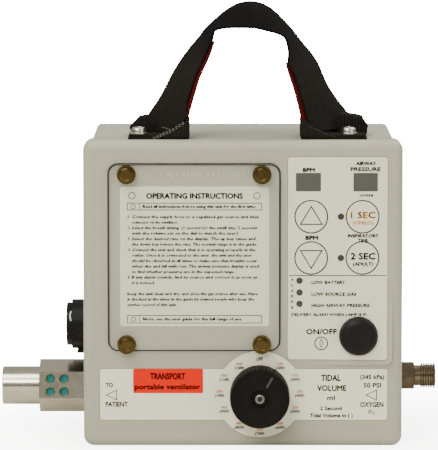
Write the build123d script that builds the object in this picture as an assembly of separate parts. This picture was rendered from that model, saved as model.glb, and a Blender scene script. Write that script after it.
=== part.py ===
from build123d import *
import os
from math import cos, pi, sin, sqrt

os.makedirs("parts", exist_ok=True)

# Portable transport ventilator. Millimetres, +Z up, front faces -Y.
# Origin: centre of the base's resting face (X centre of the case, mid depth, z = 0).

# ---- driving dimensions ----
CASE_W = 186.0              # front housing width
CASE_H = 179.5              # case height
CASE_D = 118.0              # case depth, front face to back face
FRONT = -CASE_D / 2         # y of the front face
BACK = CASE_D / 2           # y of the back face
SHELL_INSET = 4.5           # the rear housing is this much narrower on each side
FRONT_DEPTH = 20.0          # depth of the front housing
PLATE = 4.0                 # thickness of the front face
WALL = 3.2                  # wall of the rear housing
RIM = 7.5                   # wall of the front housing's sides
RIM_TB = 4.5                # wall of the front housing's top and bottom
SEAL = 1.0                  # case gasket thickness
SIDE_Y = 0.0                # depth of all three side fittings

PARTING = FRONT + FRONT_DEPTH            # back edge of the front housing
REAR_START = PARTING + SEAL              # front edge of the rear housing
HALF_W = CASE_W / 2
REAR_HALF = HALF_W - SHELL_INSET
PLATE_BACK = FRONT + PLATE

# battery cover and its bay, seen from the front: x0, x1, z0, z1
COVER = (-78.2, 21.5, 56.7, 165.9)
COVER_R = 5.8
COVER_T = 2.8
COVER_SEAL = 0.6
SEAM = 0.55                 # open seam round the cover
LEDGE_BACK = PLATE_BACK + 3.0
BAY = (-73.5, 17.0, 66.5, 153.5)
TRAY_DEPTH = 37.0
TRAY_WALL = 2.0
SCREW_X = (-67.6, 11.0)
SCREW_Z = (60.6, 160.0)
CELL_R = 17.1               # D cell
CELL_H = 61.5

# control overlay and everything in it
OVERLAY = (26.1, 84.0, 51.4, 170.0)
OVERLAY_T = 0.6
POCKET = 0.8
SHEET_GAP = 0.35
KEYS = {"key_up": (39.7, 135.1), "key_down": (39.7, 111.0),
        "key_one": (69.5, 135.1), "key_two": (69.5, 111.0)}
KEY_R = 9.1
WINDOWS = {"rate": (30.7, 45.3), "pressure": (64.1, 78.3)}
WINDOW_Z = (149.9, 160.7)
LAMPS = [(56.95, 135.2), (56.95, 111.0), (32.95, 97.7), (32.95, 90.8), (32.95, 84.1)]
LAMP_R = 1.9
POWER = (67.4, 65.2)
POWER_R = 11.1
POWER_TRAVEL = 2.5

# raised pad under the power button: flush along the line A-B, proud at its lower right
PAD = (30.0, 87.5, 47.9, 110.0)
PAD_A = (84.6, 90.5)
PAD_B = (43.2, 51.0)
PAD_RISE = 2.6

# lower label, dial and knob
STRIP = (-83.3, 84.2, 15.7, 45.8)
STICKER = (-64.0, -23.2, 31.6, 45.8)
DIAL = (9.8, 30.9)
DIAL_R = 25.5
KNOB_R = 17.7
KNOB_FRONT = FRONT - 19.0
SHAFT_R = 3.175
RUN_GAP = 0.05

# side fittings
OUTLET_Z = 27.1
OUTLET_R = 11.4             # 22 mm outer cone, drawn as a cylinder at its root size
OUTLET_BORE = 7.5           # 15 mm inner cone
OUTLET_END = -143.4
HEX_X = -121.2
HEX_TURN = 9.0              # the valve's front flat faces this far upward, in degrees
OUTLET_SIDE = 15.75         # side of the hexagon, so its across-corners half
RELIEF_Z = 64.3
RELIEF_R = 14.8
RELIEF_END = -104.9
PIPE_X = -63.0              # small pipe between the airway tee and the relief valve
INLET_Z = 33.1
INLET_THREAD_R = 7.14       # 9/16 in medical gas thread
INLET_END = 115.4

# carry strap
ANCHORS = ((-66.8, -31.3), (33.7, 72.1))
STRAP_Y = (FRONT + 7.2, FRONT + 45.0)
STRAP_SCREWS = ((-60.7, FRONT + 14.0), (61.6, FRONT + 14.0))
STRAP_TOP = 258.5

parts = {}


# ---- helpers ----
def facing(y):
    """A sketch plane at depth y: sketch x is X, sketch y is Z, extrudes toward the front."""
    return Plane(origin=(0, y, 0), x_dir=(1, 0, 0), z_dir=(0, -1, 0))


def prism(sketch, y_back, y_front):
    return extrude(facing(y_back) * sketch, y_back - y_front)


def outline(box, r=0.0, grow=0.0):
    x0, x1, z0, z1 = box
    w, h = x1 - x0 + 2 * grow, z1 - z0 + 2 * grow
    shape = RectangleRounded(w, h, r + grow) if r > 0 else Rectangle(w, h)
    return Pos((x0 + x1) / 2, (z0 + z1) / 2) * shape


def slab(box, y_back, y_front, r=0.0, grow=0.0):
    return prism(outline(box, r, grow), y_back, y_front)


def block(x0, x1, y0, y1, z0, z1):
    return Pos((x0 + x1) / 2, (y0 + y1) / 2, (z0 + z1) / 2) * Box(x1 - x0, y1 - y0, z1 - z0)


def rod_y(at, r, y_back, y_front):
    return prism(Pos(*at) * Circle(r), y_back, y_front)


def across(x0, sketch, length):
    """A prism along +X from x0: sketch x is Y, sketch y is Z."""
    return extrude(Plane(origin=(x0, 0, 0), x_dir=(0, 1, 0), z_dir=(1, 0, 0)) * sketch, length)


def rod_x(y, z, r, x0, x1):
    return across(x0, Pos(y, z) * Circle(r), x1 - x0)


def rod_z(x, y, r, z0, z1):
    return Pos(x, y, (z0 + z1) / 2) * Cylinder(r, z1 - z0)


def hexagon_x(y, z, corner, x0, x1, turn):
    return across(x0, Pos(y, z) * RegularPolygon(corner, 6, rotation=turn), x1 - x0)


def hexagon_y(at, corner, y_back, y_front):
    return prism(Pos(*at) * RegularPolygon(corner, 6), y_back, y_front)


def coil(radius, wire, pitch, turns):
    """A compression spring along +Z from z = 0."""
    path = Helix(pitch, pitch * turns, radius)
    start = Plane(origin=path @ 0, z_dir=path % 0)
    return sweep(start * Circle(wire), path)


def each(points, make):
    shape = None
    for p in points:
        piece = make(p)
        shape = piece if shape is None else shape + piece
    return shape


def group(solids):
    """Separate solids kept as one node."""
    return Compound(children=list(solids))


SCREWS = [(x, z) for z in SCREW_Z for x in SCREW_X]

# ---- front housing ----
face_box = (-HALF_W, HALF_W, 0.0, CASE_H)
front = slab(face_box, PARTING, FRONT, 6.0)
front = fillet(front.edges().group_by(Axis.Y)[0], 5.0)
front = fillet(front.edges().group_by(Axis.Y)[-1], 1.2)
cavity = (-HALF_W + RIM, HALF_W - RIM, RIM_TB, CASE_H - RIM_TB)
front -= slab(cavity, PARTING, PLATE_BACK, 3.0)

# raised pad under the power button
run_x, run_z = PAD_B[0] - PAD_A[0], PAD_B[1] - PAD_A[1]
run = sqrt(run_x ** 2 + run_z ** 2)
out_x, out_z = -run_z / run, run_x / run
reach = (PAD[1] - PAD_A[0]) * out_x + (PAD[2] - PAD_A[1]) * out_z
slope = PAD_RISE / reach
tilted = Plane(origin=(PAD_A[0], FRONT, PAD_A[1]), x_dir=(run_x, 0, run_z),
               z_dir=(-slope * out_x, -1, -slope * out_z))
behind_tilt = extrude(tilted * Rectangle(400, 400), -20)
pad_root = extrude(facing(FRONT) * outline(PAD, 4.0), PAD_RISE + 1.5, taper=20)
pad = pad_root & behind_tilt
front += pad
face_zone = slab(face_box, FRONT + 8, FRONT) + pad

# shallow pocket for the control overlay, following the pad
pocket = slab(OVERLAY, FRONT + 7, FRONT - 8, 1.8, SHEET_GAP) - Pos(0, POCKET, 0) * face_zone
front -= pocket

# pocket for the battery cover, with a ledge round the bay
front += slab(COVER, LEDGE_BACK, PLATE_BACK, COVER_R)
cover_floor = FRONT + COVER_T + COVER_SEAL
front -= slab(COVER, cover_floor, FRONT - 1, COVER_R, SEAM)
front -= slab(BAY, LEDGE_BACK + 1, FRONT - 1, 3.0)
front -= each(SCREWS, lambda p: rod_y(p, 4.0, LEDGE_BACK + 1, FRONT - 1))

# pocket for the lower label and its dial
LABEL_T = 0.4
LABEL_POCKET = 0.55
strip_shape = outline(STRIP, 1.5) + Pos(*DIAL) * Circle(DIAL_R)
strip_pocket = outline(STRIP, 1.5, SHEET_GAP) + Pos(*DIAL) * Circle(DIAL_R + SHEET_GAP)
front -= prism(strip_pocket, FRONT + LABEL_POCKET, FRONT - 1)

# openings through the front face
BUSH_R = 6.0
front -= rod_y(DIAL, BUSH_R + 0.1, LEDGE_BACK, FRONT - 1)
front -= rod_y(POWER, POWER_R + 0.3, PLATE_BACK + 1, FRONT - 8)
front -= each(KEYS.values(), lambda p: rod_y(p, KEY_R + 0.3, PLATE_BACK + 1, FRONT - 1))
front -= each(LAMPS, lambda p: rod_y(p, LAMP_R + 0.1, PLATE_BACK + 1, FRONT - 1))
for x0, x1 in WINDOWS.values():
    front -= slab((x0, x1, *WINDOW_Z), PLATE_BACK + 1, FRONT - 1)

# case screw bosses and board pads on the inside
CORNERS = [(x, z) for x in (-80.0, 80.0) for z in (9.0, CASE_H - 9.0)]
front += each(CORNERS, lambda p: rod_y(p, 5.0, PARTING, PLATE_BACK))
front -= each(CORNERS, lambda p: rod_y(p, 2.1, PARTING + 1, PLATE_BACK + 1))
BOARD_FRONT = PLATE_BACK + 1.2
PADS = [(46.0, 88.0), (80.0, 88.0), (54.5, 161.5), (81.0, 162.0)]
front += each(PADS, lambda p: rod_y(p, 2.2, BOARD_FRONT, PLATE_BACK))

# strap screws pass through the top wall
for x, y in STRAP_SCREWS:
    front -= rod_z(x, y, 2.2, CASE_H - RIM_TB - 1, CASE_H + 1)
parts["front_housing"] = front

# ---- case gasket and rear housing ----
rear_box = (-REAR_HALF, REAR_HALF, 0.0, CASE_H)
rear_inner = (-REAR_HALF + WALL, REAR_HALF - WALL, WALL, CASE_H - WALL)
seal = slab(rear_box, REAR_START, PARTING, 3.0, -0.5) - slab(rear_inner, REAR_START, PARTING, 2.0, 0.5)
seal -= each(CORNERS, lambda p: rod_y(p, 2.2, REAR_START, PARTING))
parts["case_gasket"] = seal

rear = slab(rear_box, BACK, REAR_START, 3.0)
rear = fillet(rear.edges().group_by(Axis.Y)[-1], 2.6)
rear -= slab(rear_inner, BACK - WALL, REAR_START, 2.0)
rear += each(CORNERS, lambda p: rod_y(p, 5.4, BACK - WALL, REAR_START))
rear -= each(CORNERS, lambda p: rod_y(p, 2.2, BACK + 1, REAR_START))
rear -= each(CORNERS, lambda p: rod_y(p, 4.4, BACK + 1, BACK - 4.0))
rear -= rod_x(SIDE_Y, OUTLET_Z, 10.1, -REAR_HALF - 1, -REAR_HALF + 5)
rear -= rod_x(SIDE_Y, RELIEF_Z, 8.1, -REAR_HALF - 1, -REAR_HALF + 5)
rear -= rod_x(SIDE_Y, INLET_Z, 6.1, REAR_HALF - 5, REAR_HALF + 1)
parts["rear_housing"] = rear


def case_screw(p):
    head = rod_y(p, 4.0, BACK - 0.6, BACK - 4.0)
    slot = block(p[0] - 3, p[0] + 3, BACK - 2.0, BACK, p[1] - 0.5, p[1] + 0.5)
    cross = block(p[0] - 0.5, p[0] + 0.5, BACK - 2.0, BACK, p[1] - 3, p[1] + 3)
    return head + rod_y(p, 2.0, BACK - 4.0, PLATE_BACK + 2) - slot - cross


parts["case_screws"] = group(case_screw(p) for p in CORNERS)

# ---- battery bay ----
TRAY_BACK = LEDGE_BACK + TRAY_DEPTH
tray_box = (BAY[0] - TRAY_WALL, BAY[1] + TRAY_WALL, BAY[2] - TRAY_WALL, BAY[3] + TRAY_WALL)
tray = slab(tray_box, TRAY_BACK + TRAY_WALL, LEDGE_BACK, 4.0)
tray -= slab(BAY, TRAY_BACK, LEDGE_BACK, 3.0)
parts["battery_tray"] = tray

bay_mid = (BAY[0] + BAY[1]) / 2
cell_y = LEDGE_BACK + TRAY_DEPTH / 2
cell_z = BAY[3] - 2.4 - CELL_H
CELL_X = (bay_mid - CELL_R - 0.9, bay_mid + CELL_R + 0.9)


def cell(x, up):
    can = rod_z(x, cell_y, CELL_R, cell_z, cell_z + CELL_H - 1.5)
    can = fillet(can.edges(), 1.2)
    nub_z = cell_z + CELL_H - 1.5 if up else cell_z
    nub = rod_z(x, cell_y, 4.7, nub_z - 1.0, nub_z + 1.5) if up else None
    if up:
        return can + nub
    return Pos(0, 0, 1.5) * can + rod_z(x, cell_y, 4.7, nub_z, nub_z + 2.5)


parts["battery_cells"] = group([cell(CELL_X[0], True), cell(CELL_X[1], False)])


CONTACT_T = 0.6
WIRE_R = 0.6
CONTACT_TURNS = 3.5


def contact(x, z):
    """A flat contact on the tray's top or bottom wall."""
    return block(x - 8, x + 8, cell_y - 8, cell_y + 8, z, z + CONTACT_T)


spring_z = BAY[2] + CONTACT_T + WIRE_R
spring_pitch = (cell_z - spring_z - WIRE_R - 0.1) / CONTACT_TURNS
contact_spring = coil(6.5, WIRE_R, spring_pitch, CONTACT_TURNS)
parts["battery_contacts"] = group(
    [contact(x, BAY[2]) for x in CELL_X]
    + [contact(x, BAY[3] - CONTACT_T) for x in CELL_X]
    + [Pos(x, cell_y, spring_z) * contact_spring for x in CELL_X])

seal = slab(COVER, cover_floor, FRONT + COVER_T, COVER_R, -0.6)
seal -= slab(BAY, cover_floor, FRONT + COVER_T, 3.0, 0.4)
seal -= each(SCREWS, lambda p: rod_y(p, 4.0, cover_floor, FRONT))
parts["cover_gasket"] = seal

cover = slab(COVER, FRONT + COVER_T, FRONT, COVER_R)
cover = fillet(cover.edges().group_by(Axis.Y)[0], 0.5)
cover -= each(SCREWS, lambda p: rod_y(p, 3.3, FRONT + COVER_T, FRONT))
parts["battery_cover"] = cover

INSTRUCTIONS = (-71.4, 15.2, 71.0, 152.8)
parts["instruction_label"] = slab(INSTRUCTIONS, FRONT, FRONT - 0.2, 1.8)

INSERT_END = LEDGE_BACK + 8.0
parts["cover_inserts"] = group(
    rod_y(p, 3.9, INSERT_END, cover_floor + 0.5) - rod_y(p, 2.5 + RUN_GAP, INSERT_END, FRONT) for p in SCREWS)


def thumb_screw(p):
    head = rod_y(p, 5.5, FRONT, FRONT - 4.4)
    head = chamfer(head.edges().group_by(Axis.Y)[0], 0.6)
    nose = rod_y(p, 4.1, FRONT - 4.4, FRONT - 6.6)
    nose = fillet(nose.edges().group_by(Axis.Y)[0], 0.6)
    return head + nose + rod_y(p, 2.5, INSERT_END - 0.5, FRONT)


for number, place in enumerate(SCREWS, 1):
    parts[f"thumb_screw_{number}"] = thumb_screw(place)

# ---- control overlay, keys, windows and lamps ----
skin = Pos(0, POCKET - OVERLAY_T, 0) * face_zone - Pos(0, POCKET, 0) * face_zone
overlay = slab(OVERLAY, FRONT + 5, FRONT - 8, 1.8) & skin
overlay -= each(KEYS.values(), lambda p: rod_y(p, KEY_R + 0.25, FRONT + 5, FRONT - 1))
overlay -= each(LAMPS, lambda p: rod_y(p, LAMP_R + 0.05, FRONT + 5, FRONT - 1))
overlay -= rod_y(POWER, POWER_R + 0.3, FRONT + 5, FRONT - 8)
for x0, x1 in WINDOWS.values():
    overlay -= slab((x0, x1, *WINDOW_Z), FRONT + 5, FRONT - 1)
parts["control_overlay"] = overlay

SKIN_FRONT = FRONT + POCKET - OVERLAY_T
for name, place in KEYS.items():
    cap = rod_y(place, KEY_R, FRONT + 2.4, SKIN_FRONT - 0.35)
    cap = fillet(cap.edges().group_by(Axis.Y)[0], 0.25)
    parts[name] = cap + rod_y(place, 3.0, PLATE_BACK - 0.2, FRONT + 2.4)

BOARD_T = 1.6
parts["display_windows"] = group(
    slab((x0 + 0.05, x1 - 0.05, WINDOW_Z[0] + 0.05, WINDOW_Z[1] - 0.05), FRONT + POCKET, SKIN_FRONT)
    for x0, x1 in WINDOWS.values())
parts["display_modules"] = group(
    slab((x0 + 0.3, x1 - 0.3, WINDOW_Z[0] + 0.3, WINDOW_Z[1] - 0.3), BOARD_FRONT, FRONT + 1.2)
    for x0, x1 in WINDOWS.values())
parts["indicator_lamps"] = group(rod_y(p, LAMP_R, BOARD_FRONT, SKIN_FRONT) for p in LAMPS)
key_board = slab((27.5, 83.4, 81.5, 164.5), BOARD_FRONT + BOARD_T, BOARD_FRONT, 1.0)
key_board += each(KEYS.values(), lambda p: rod_y(p, 4.0, BOARD_FRONT, PLATE_BACK + 0.5))
parts["key_board"] = key_board

# ---- power switch ----
switch_back = FRONT + 32.0
dome_sketch = Pos(*POWER) * Circle(POWER_R)
button = prism(dome_sketch, FRONT + 9.0, FRONT - 6.0)
button = fillet(button.edges().group_by(Axis.Y)[0], 4.5)
button += rod_y(POWER, 4.0, FRONT + 13.0, FRONT + 9.0)
parts["power_button"] = button
switch = rod_y(POWER, 13.0, switch_back, FRONT + 7.0)
switch -= rod_y(POWER, POWER_R + 0.3, FRONT + 9.0 + POWER_TRAVEL + 0.5, FRONT + 7.0)
switch -= rod_y(POWER, 4.3, FRONT + 13.0 + POWER_TRAVEL + 0.5, FRONT + 7.0)
parts["power_switch"] = switch
parts["switch_nut"] = hexagon_y(POWER, 16.5, FRONT + 7.0, PLATE_BACK) - rod_y(POWER, 11.5, FRONT + 7.0, PLATE_BACK)

# ---- lower label, dial, knob and selector valve ----
label = prism(strip_shape, FRONT + LABEL_POCKET, FRONT + LABEL_POCKET - LABEL_T)
label -= rod_y(DIAL, BUSH_R + 0.1, FRONT + 2, FRONT - 1)
parts["lower_label"] = label
LABEL_FRONT = FRONT + LABEL_POCKET - LABEL_T
parts["accent_sticker"] = slab(STICKER, LABEL_FRONT, LABEL_FRONT - 0.2, 0.8)

VALVE_FRONT = PLATE_BACK
VALVE_BACK = FRONT + 40.0
bush = rod_y(DIAL, BUSH_R, VALVE_FRONT, FRONT - 3.4) - rod_y(DIAL, SHAFT_R + RUN_GAP, VALVE_FRONT, FRONT - 4)
parts["selector_bushing"] = bush
parts["selector_nut"] = (hexagon_y(DIAL, 8.6, LABEL_FRONT, LABEL_FRONT - 2.4)
                         - rod_y(DIAL, BUSH_R + 0.05, FRONT + 2, FRONT - 4))
ROTOR_R = 12.0
rotor_front = VALVE_FRONT + 12.0
valve = slab((DIAL[0] - 17, DIAL[0] + 17, DIAL[1] - 17, DIAL[1] + 17), VALVE_BACK, VALVE_FRONT, 3.0)
valve -= rod_y(DIAL, SHAFT_R + RUN_GAP, rotor_front, VALVE_FRONT)
valve -= rod_y(DIAL, ROTOR_R + 0.3, rotor_front + 8.0, rotor_front)
parts["selector_valve"] = valve

rotor = rod_y(DIAL, ROTOR_R, rotor_front + 7.5, rotor_front + 0.5)
orifices = [(DIAL[0] + 8.5 * cos(k * pi / 6), DIAL[1] + 8.5 * sin(k * pi / 6)) for k in range(12)]
for k, place in enumerate(orifices):
    rotor -= rod_y(place, 0.5 + 0.09 * k, rotor_front + 8, rotor_front)
parts["selector_spindle"] = rotor + rod_y(DIAL, SHAFT_R, rotor_front + 0.5, FRONT - 15.0)

KNOB_BACK = LABEL_FRONT - 0.9
knob = rod_y(DIAL, KNOB_R, KNOB_BACK, KNOB_FRONT)
knob = fillet(knob.edges().group_by(Axis.Y)[0], 1.6)
knob -= rod_y(DIAL, 10.4, FRONT - 4.5, KNOB_BACK)
knob -= rod_y(DIAL, SHAFT_R, FRONT - 15.0, FRONT - 4.5)
knob -= rod_y(DIAL, 5.4, KNOB_FRONT + 1.6, KNOB_FRONT)
knob -= rod_y(DIAL, 1.6, FRONT - 15.0, KNOB_FRONT)
parts["volume_knob"] = knob
screw = rod_y(DIAL, 2.7, KNOB_FRONT + 1.6, KNOB_FRONT + 0.2)
screw -= block(DIAL[0] - 1.8, DIAL[0] + 1.8, KNOB_FRONT, KNOB_FRONT + 0.9, DIAL[1] - 0.35, DIAL[1] + 0.35)
screw -= block(DIAL[0] - 0.35, DIAL[0] + 0.35, KNOB_FRONT, KNOB_FRONT + 0.9, DIAL[1] - 1.8, DIAL[1] + 1.8)
parts["knob_screw"] = screw + rod_y(DIAL, 1.5, FRONT - 15.0, KNOB_FRONT + 1.6)

# ---- patient outlet ----
HEX_END = -REAR_HALF
HEX_FLAT = -OUTLET_SIDE * sqrt(3) / 2        # y of the flat that faces the front
SHANK_END = -71.0
PORT_X = (-114.6, -106.4)
PORT_Z = (OUTLET_Z - 3.85, OUTLET_Z + 3.85)
PORT_R = 2.4
PORT_SINK_R = 3.15
FLAP = (-119.0, -102.0, OUTLET_Z - 7.5, OUTLET_Z + 7.5)
FLAP_Y = HEX_FLAT + 3.0
SOCKET = 8.0                                  # the tube screws this far into the hexagon
PORTS = [(x, z) for x in PORT_X for z in PORT_Z]
RIVET = ((PORT_X[0] + PORT_X[1]) / 2, (PORT_Z[0] + PORT_Z[1]) / 2)
valve_hex = hexagon_x(SIDE_Y, OUTLET_Z, OUTLET_SIDE, HEX_X, HEX_END, 90)
shape = valve_hex + rod_x(SIDE_Y, OUTLET_Z, 10.0, HEX_END, SHANK_END)
shape -= rod_x(SIDE_Y, OUTLET_Z, 8.4, HEX_X, SHANK_END)
shape -= rod_x(SIDE_Y, OUTLET_Z, 9.6, HEX_X, HEX_X + 1.4)
shape -= slab(FLAP, -6.0, FLAP_Y)
shape -= each(PORTS, lambda p: rod_y(p, PORT_R, FLAP_Y, HEX_FLAT - 1))
for p in PORTS:
    sink = Pos(p[0], HEX_FLAT + 0.4, p[1]) * Rot(90, 0, 0) * Cone(PORT_R, PORT_SINK_R, 0.8)
    shape -= sink
shape -= rod_y(RIVET, 1.0, FLAP_Y, HEX_FLAT - 1)
parts["outlet_valve_body"] = shape
flap = slab((FLAP[0] + 0.5, FLAP[1] - 0.5, FLAP[2] + 0.5, FLAP[3] - 0.5), FLAP_Y + 1.0, FLAP_Y, 1.5)
parts["inlet_flap"] = flap - rod_y(RIVET, 1.0, FLAP_Y + 1, FLAP_Y)
rivet = rod_y(RIVET, 1.0, FLAP_Y + 1.0, HEX_FLAT) + rod_y(RIVET, 1.6, HEX_FLAT, HEX_FLAT - 0.7)
parts["flap_rivet"] = rivet + rod_y(RIVET, 1.6, FLAP_Y + 1.7, FLAP_Y + 1.0)
turned_up = Pos(0, SIDE_Y, OUTLET_Z) * Rot(-HEX_TURN, 0, 0) * Pos(0, -SIDE_Y, -OUTLET_Z)
for name in ("outlet_valve_body", "inlet_flap", "flap_rivet"):
    parts[name] = turned_up * parts[name]

tube = rod_x(SIDE_Y, OUTLET_Z, OUTLET_R, OUTLET_END, HEX_X)
tube = chamfer(tube.edges().group_by(Axis.X)[0], 0.6)
tube += rod_x(SIDE_Y, OUTLET_Z, 9.6, HEX_X, HEX_X + 1.4) + rod_x(SIDE_Y, OUTLET_Z, 8.4, HEX_X, HEX_X + 2.2)
tube -= rod_x(SIDE_Y, OUTLET_Z, OUTLET_BORE, OUTLET_END, HEX_X + 2.2)
parts["outlet_tube"] = tube
inner_wall = -REAR_HALF + WALL
outlet_nut = (rod_x(SIDE_Y, OUTLET_Z, 12.3, inner_wall, inner_wall + 4.5)
              - rod_x(SIDE_Y, OUTLET_Z, 10.0, inner_wall, inner_wall + 5))

# ---- pressure relief valve ----
body = rod_x(SIDE_Y, RELIEF_Z, 8.0, -REAR_HALF, inner_wall) + rod_x(SIDE_Y, RELIEF_Z, 11.0, inner_wall, -58.0)
body += rod_x(SIDE_Y, RELIEF_Z, 8.0, -REAR_HALF - 4.5, -REAR_HALF)
body -= rod_x(SIDE_Y, RELIEF_Z, 6.0, -84.0, -60.0)
body -= rod_x(SIDE_Y, RELIEF_Z, 4.0 + RUN_GAP, -REAR_HALF - 5, -84.0)
body -= rod_z(PIPE_X, SIDE_Y, 2.5, RELIEF_Z - 12, RELIEF_Z)
parts["relief_valve_body"] = body
RING_X = -REAR_HALF - 3.2
ring = rod_x(SIDE_Y, RELIEF_Z, 13.6, RING_X, -REAR_HALF) - rod_x(SIDE_Y, RELIEF_Z, 8.1, RING_X, -REAR_HALF)
lug = block(-98.6, -REAR_HALF, SIDE_Y - 4, SIDE_Y + 4, RELIEF_Z - 17.2, RELIEF_Z - 15.2)
lug += block(RING_X, -REAR_HALF, SIDE_Y - 4, SIDE_Y + 4, RELIEF_Z - 17.2, RELIEF_Z - 11.0)
parts["relief_collar"] = ring + lug
grip = rod_x(SIDE_Y, RELIEF_Z, RELIEF_R, -101.7, RING_X - 0.4)
grip = fillet(grip.edges().group_by(Axis.X)[0], 0.8)
grip += rod_x(SIDE_Y, RELIEF_Z, 12.9, RELIEF_END, -101.7)
grip = fillet(grip.edges().group_by(Axis.X)[0], 0.6)
grip -= rod_x(SIDE_Y, RELIEF_Z, 8.4, -REAR_HALF - 5.0, RING_X)
parts["relief_knob"] = grip + rod_x(SIDE_Y, RELIEF_Z, 4.0, -100.0, -80.0)
spring_len = 14.0
relief_spring = Plane(origin=(-79.3, SIDE_Y, RELIEF_Z), z_dir=(1, 0, 0)).location * coil(4.6, 0.6, spring_len / 6, 6)
parts["relief_spring"] = relief_spring

# ---- oxygen inlet ----
parts["oxygen_inlet"] = (
    hexagon_x(SIDE_Y, INLET_Z, 15.1 / sqrt(3), REAR_HALF, 102.8, 0)
    + rod_x(SIDE_Y, INLET_Z, 6.0, 102.8, 106.4)
    + chamfer(rod_x(SIDE_Y, INLET_Z, INLET_THREAD_R, 106.4, INLET_END).edges().group_by(Axis.X)[-1], 0.5)
    + rod_x(SIDE_Y, INLET_Z, 6.0, 76.0, REAR_HALF)
    - rod_x(SIDE_Y, INLET_Z, 4.0, INLET_END - 7.0, INLET_END)
    - rod_x(SIDE_Y, INLET_Z, 2.2, 76.0, INLET_END))
inlet_nut = (hexagon_x(SIDE_Y, INLET_Z, 10.5, REAR_HALF - WALL - 4.0, REAR_HALF - WALL, 0)
             - rod_x(SIDE_Y, INLET_Z, 6.0, 70.0, REAR_HALF))
parts["fitting_nuts"] = group([outlet_nut, inlet_nut])

# ---- gas train inside ----
regulator = block(46.0, 76.0, -14.0, 14.0, 19.0, 47.0)
regulator = fillet(regulator.edges(), 1.0) + rod_z(61.0, SIDE_Y, 11.0, 47.0, 50.5)
parts["pressure_regulator"] = regulator
parts["gas_filter"] = rod_x(SIDE_Y, INLET_Z, 7.0, 40.0, 46.0)
MANIFOLD = (-16.0, 40.0, VALVE_BACK, 14.0, 13.0, 44.0)
manifold = block(*MANIFOLD)
manifold = chamfer(manifold.edges().filter_by(Axis.X), 1.0)
parts["gas_manifold"] = manifold
solenoid = rod_z(12.0, 0.0, 9.0, 44.0, 60.0) + block(4.0, 20.0, -9.5, 9.5, 46.0, 56.0)
parts["control_solenoid"] = solenoid
tee = rod_x(SIDE_Y, OUTLET_Z, 12.5, SHANK_END, -50.0) + rod_z(PIPE_X, SIDE_Y, 5.0, OUTLET_Z, RELIEF_Z - 11.2)
tee -= rod_x(SIDE_Y, OUTLET_Z, 8.0, SHANK_END, -50.0)
tee -= rod_z(PIPE_X, SIDE_Y, 2.5, OUTLET_Z, RELIEF_Z)
parts["airway_tee"] = tee
hose = rod_x(SIDE_Y, OUTLET_Z, 9.5, -50.0, MANIFOLD[0]) - rod_x(SIDE_Y, OUTLET_Z, 7.0, -50.0, MANIFOLD[0])
parts["delivery_hose"] = hose

# ---- electronics ----
MAIN_Y = 20.0
MAIN = (-70.0, 72.0, 56.0, 168.0)
parts["main_board"] = slab(MAIN, MAIN_Y + BOARD_T, MAIN_Y, 2.0)
POSTS = [(x, z) for x in (MAIN[0] + 5, MAIN[1] - 5) for z in (MAIN[2] + 5, MAIN[3] - 5)]
parts["board_posts"] = group(rod_y(p, 3.0, BACK - WALL, MAIN_Y + BOARD_T) for p in POSTS)
chips = [slab((x, x + w, z, z + h), MAIN_Y, MAIN_Y - t)
         for x, z, w, h, t in ((-52, 92, 16, 16, 2.4), (-20, 120, 12, 22, 3.0), (24, 96, 20, 20, 3.0),
                               (-50, 132, 14, 9, 2.0), (40, 130, 18, 10, 6.0))]
cans = [rod_y((x, 76), 5.0, MAIN_Y, MAIN_Y - 12.0) for x in (-6, 8, 22)]
transducer = slab((-4, 12, 150, 162), MAIN_Y, MAIN_Y - 7.0) + rod_y((4, 156), 2.0, MAIN_Y - 7, MAIN_Y - 13)
parts["board_components"] = group([*chips, *cans, transducer])
BUZZER = (55.0, 76.0)
buzzer = rod_y(BUZZER, 11.0, MAIN_Y, MAIN_Y - 9.0)
parts["alarm_buzzer"] = buzzer - rod_y(BUZZER, 1.5, MAIN_Y - 6.0, MAIN_Y - 9.0)

# ---- carry strap, its ends, screws, washers and backing nuts ----
WEB_T = 2.8
FOLD_W = 22.8               # width of the folded, stitched part of each end
TAIL_W = 15.0               # width of the tail folded back behind each screw
TAIL_Y = FRONT + 27.0
TAIL_TOP = CASE_H + 10.5
ends = []
for (x0, x1), (sx, sy), side in zip(ANCHORS, STRAP_SCREWS, (1, -1)):
    flat = block(x0, x1, *STRAP_Y, CASE_H, CASE_H + WEB_T)
    fold0, fold1 = (x1 - FOLD_W, x1) if side > 0 else (x0, x0 + FOLD_W)
    flat += block(fold0, fold1, *STRAP_Y, CASE_H + WEB_T, CASE_H + 9.0)
    tail0, tail1 = (x0, x0 + TAIL_W) if side > 0 else (x1 - TAIL_W, x1)
    flat += block(tail0, tail1, TAIL_Y, STRAP_Y[1], CASE_H + WEB_T, TAIL_TOP)
    ends.append(flat - rod_z(sx, sy, 2.2, CASE_H - 1, CASE_H + WEB_T + 1))
parts["strap_ends"] = group(ends)

LOOP_Z = CASE_H + 21.5
outer = [(-48.6, LOOP_Z), (-39.6, 217.6), (-22.0, 241.6), (-4.4, 256.0), (4.4, STRAP_TOP),
         (12.0, 257.2), (24.0, 246.0), (42.0, 225.0), (55.5, LOOP_Z)]
inner = [(31.5, LOOP_Z), (26.0, 221.5), (24.5, 237.5), (4.4, 242.6), (-17.0, 241.5),
         (-18.5, 234.0), (-30.5, LOOP_Z)]
loop = make_face(Polyline(*outer, *inner, close=True))
LOOP_Y = (STRAP_Y[0] + 4.0, STRAP_Y[1] - 4.0)
parts["carry_strap"] = prism(loop, LOOP_Y[1], LOOP_Y[0])

WASHER_T = 0.9
washer_z = CASE_H + WEB_T
parts["strap_washers"] = group(
    rod_z(x, y, 4.4, washer_z, washer_z + WASHER_T) - rod_z(x, y, 2.1, washer_z, washer_z + 1)
    for x, y in STRAP_SCREWS)
HEAD_H = 2.9


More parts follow.
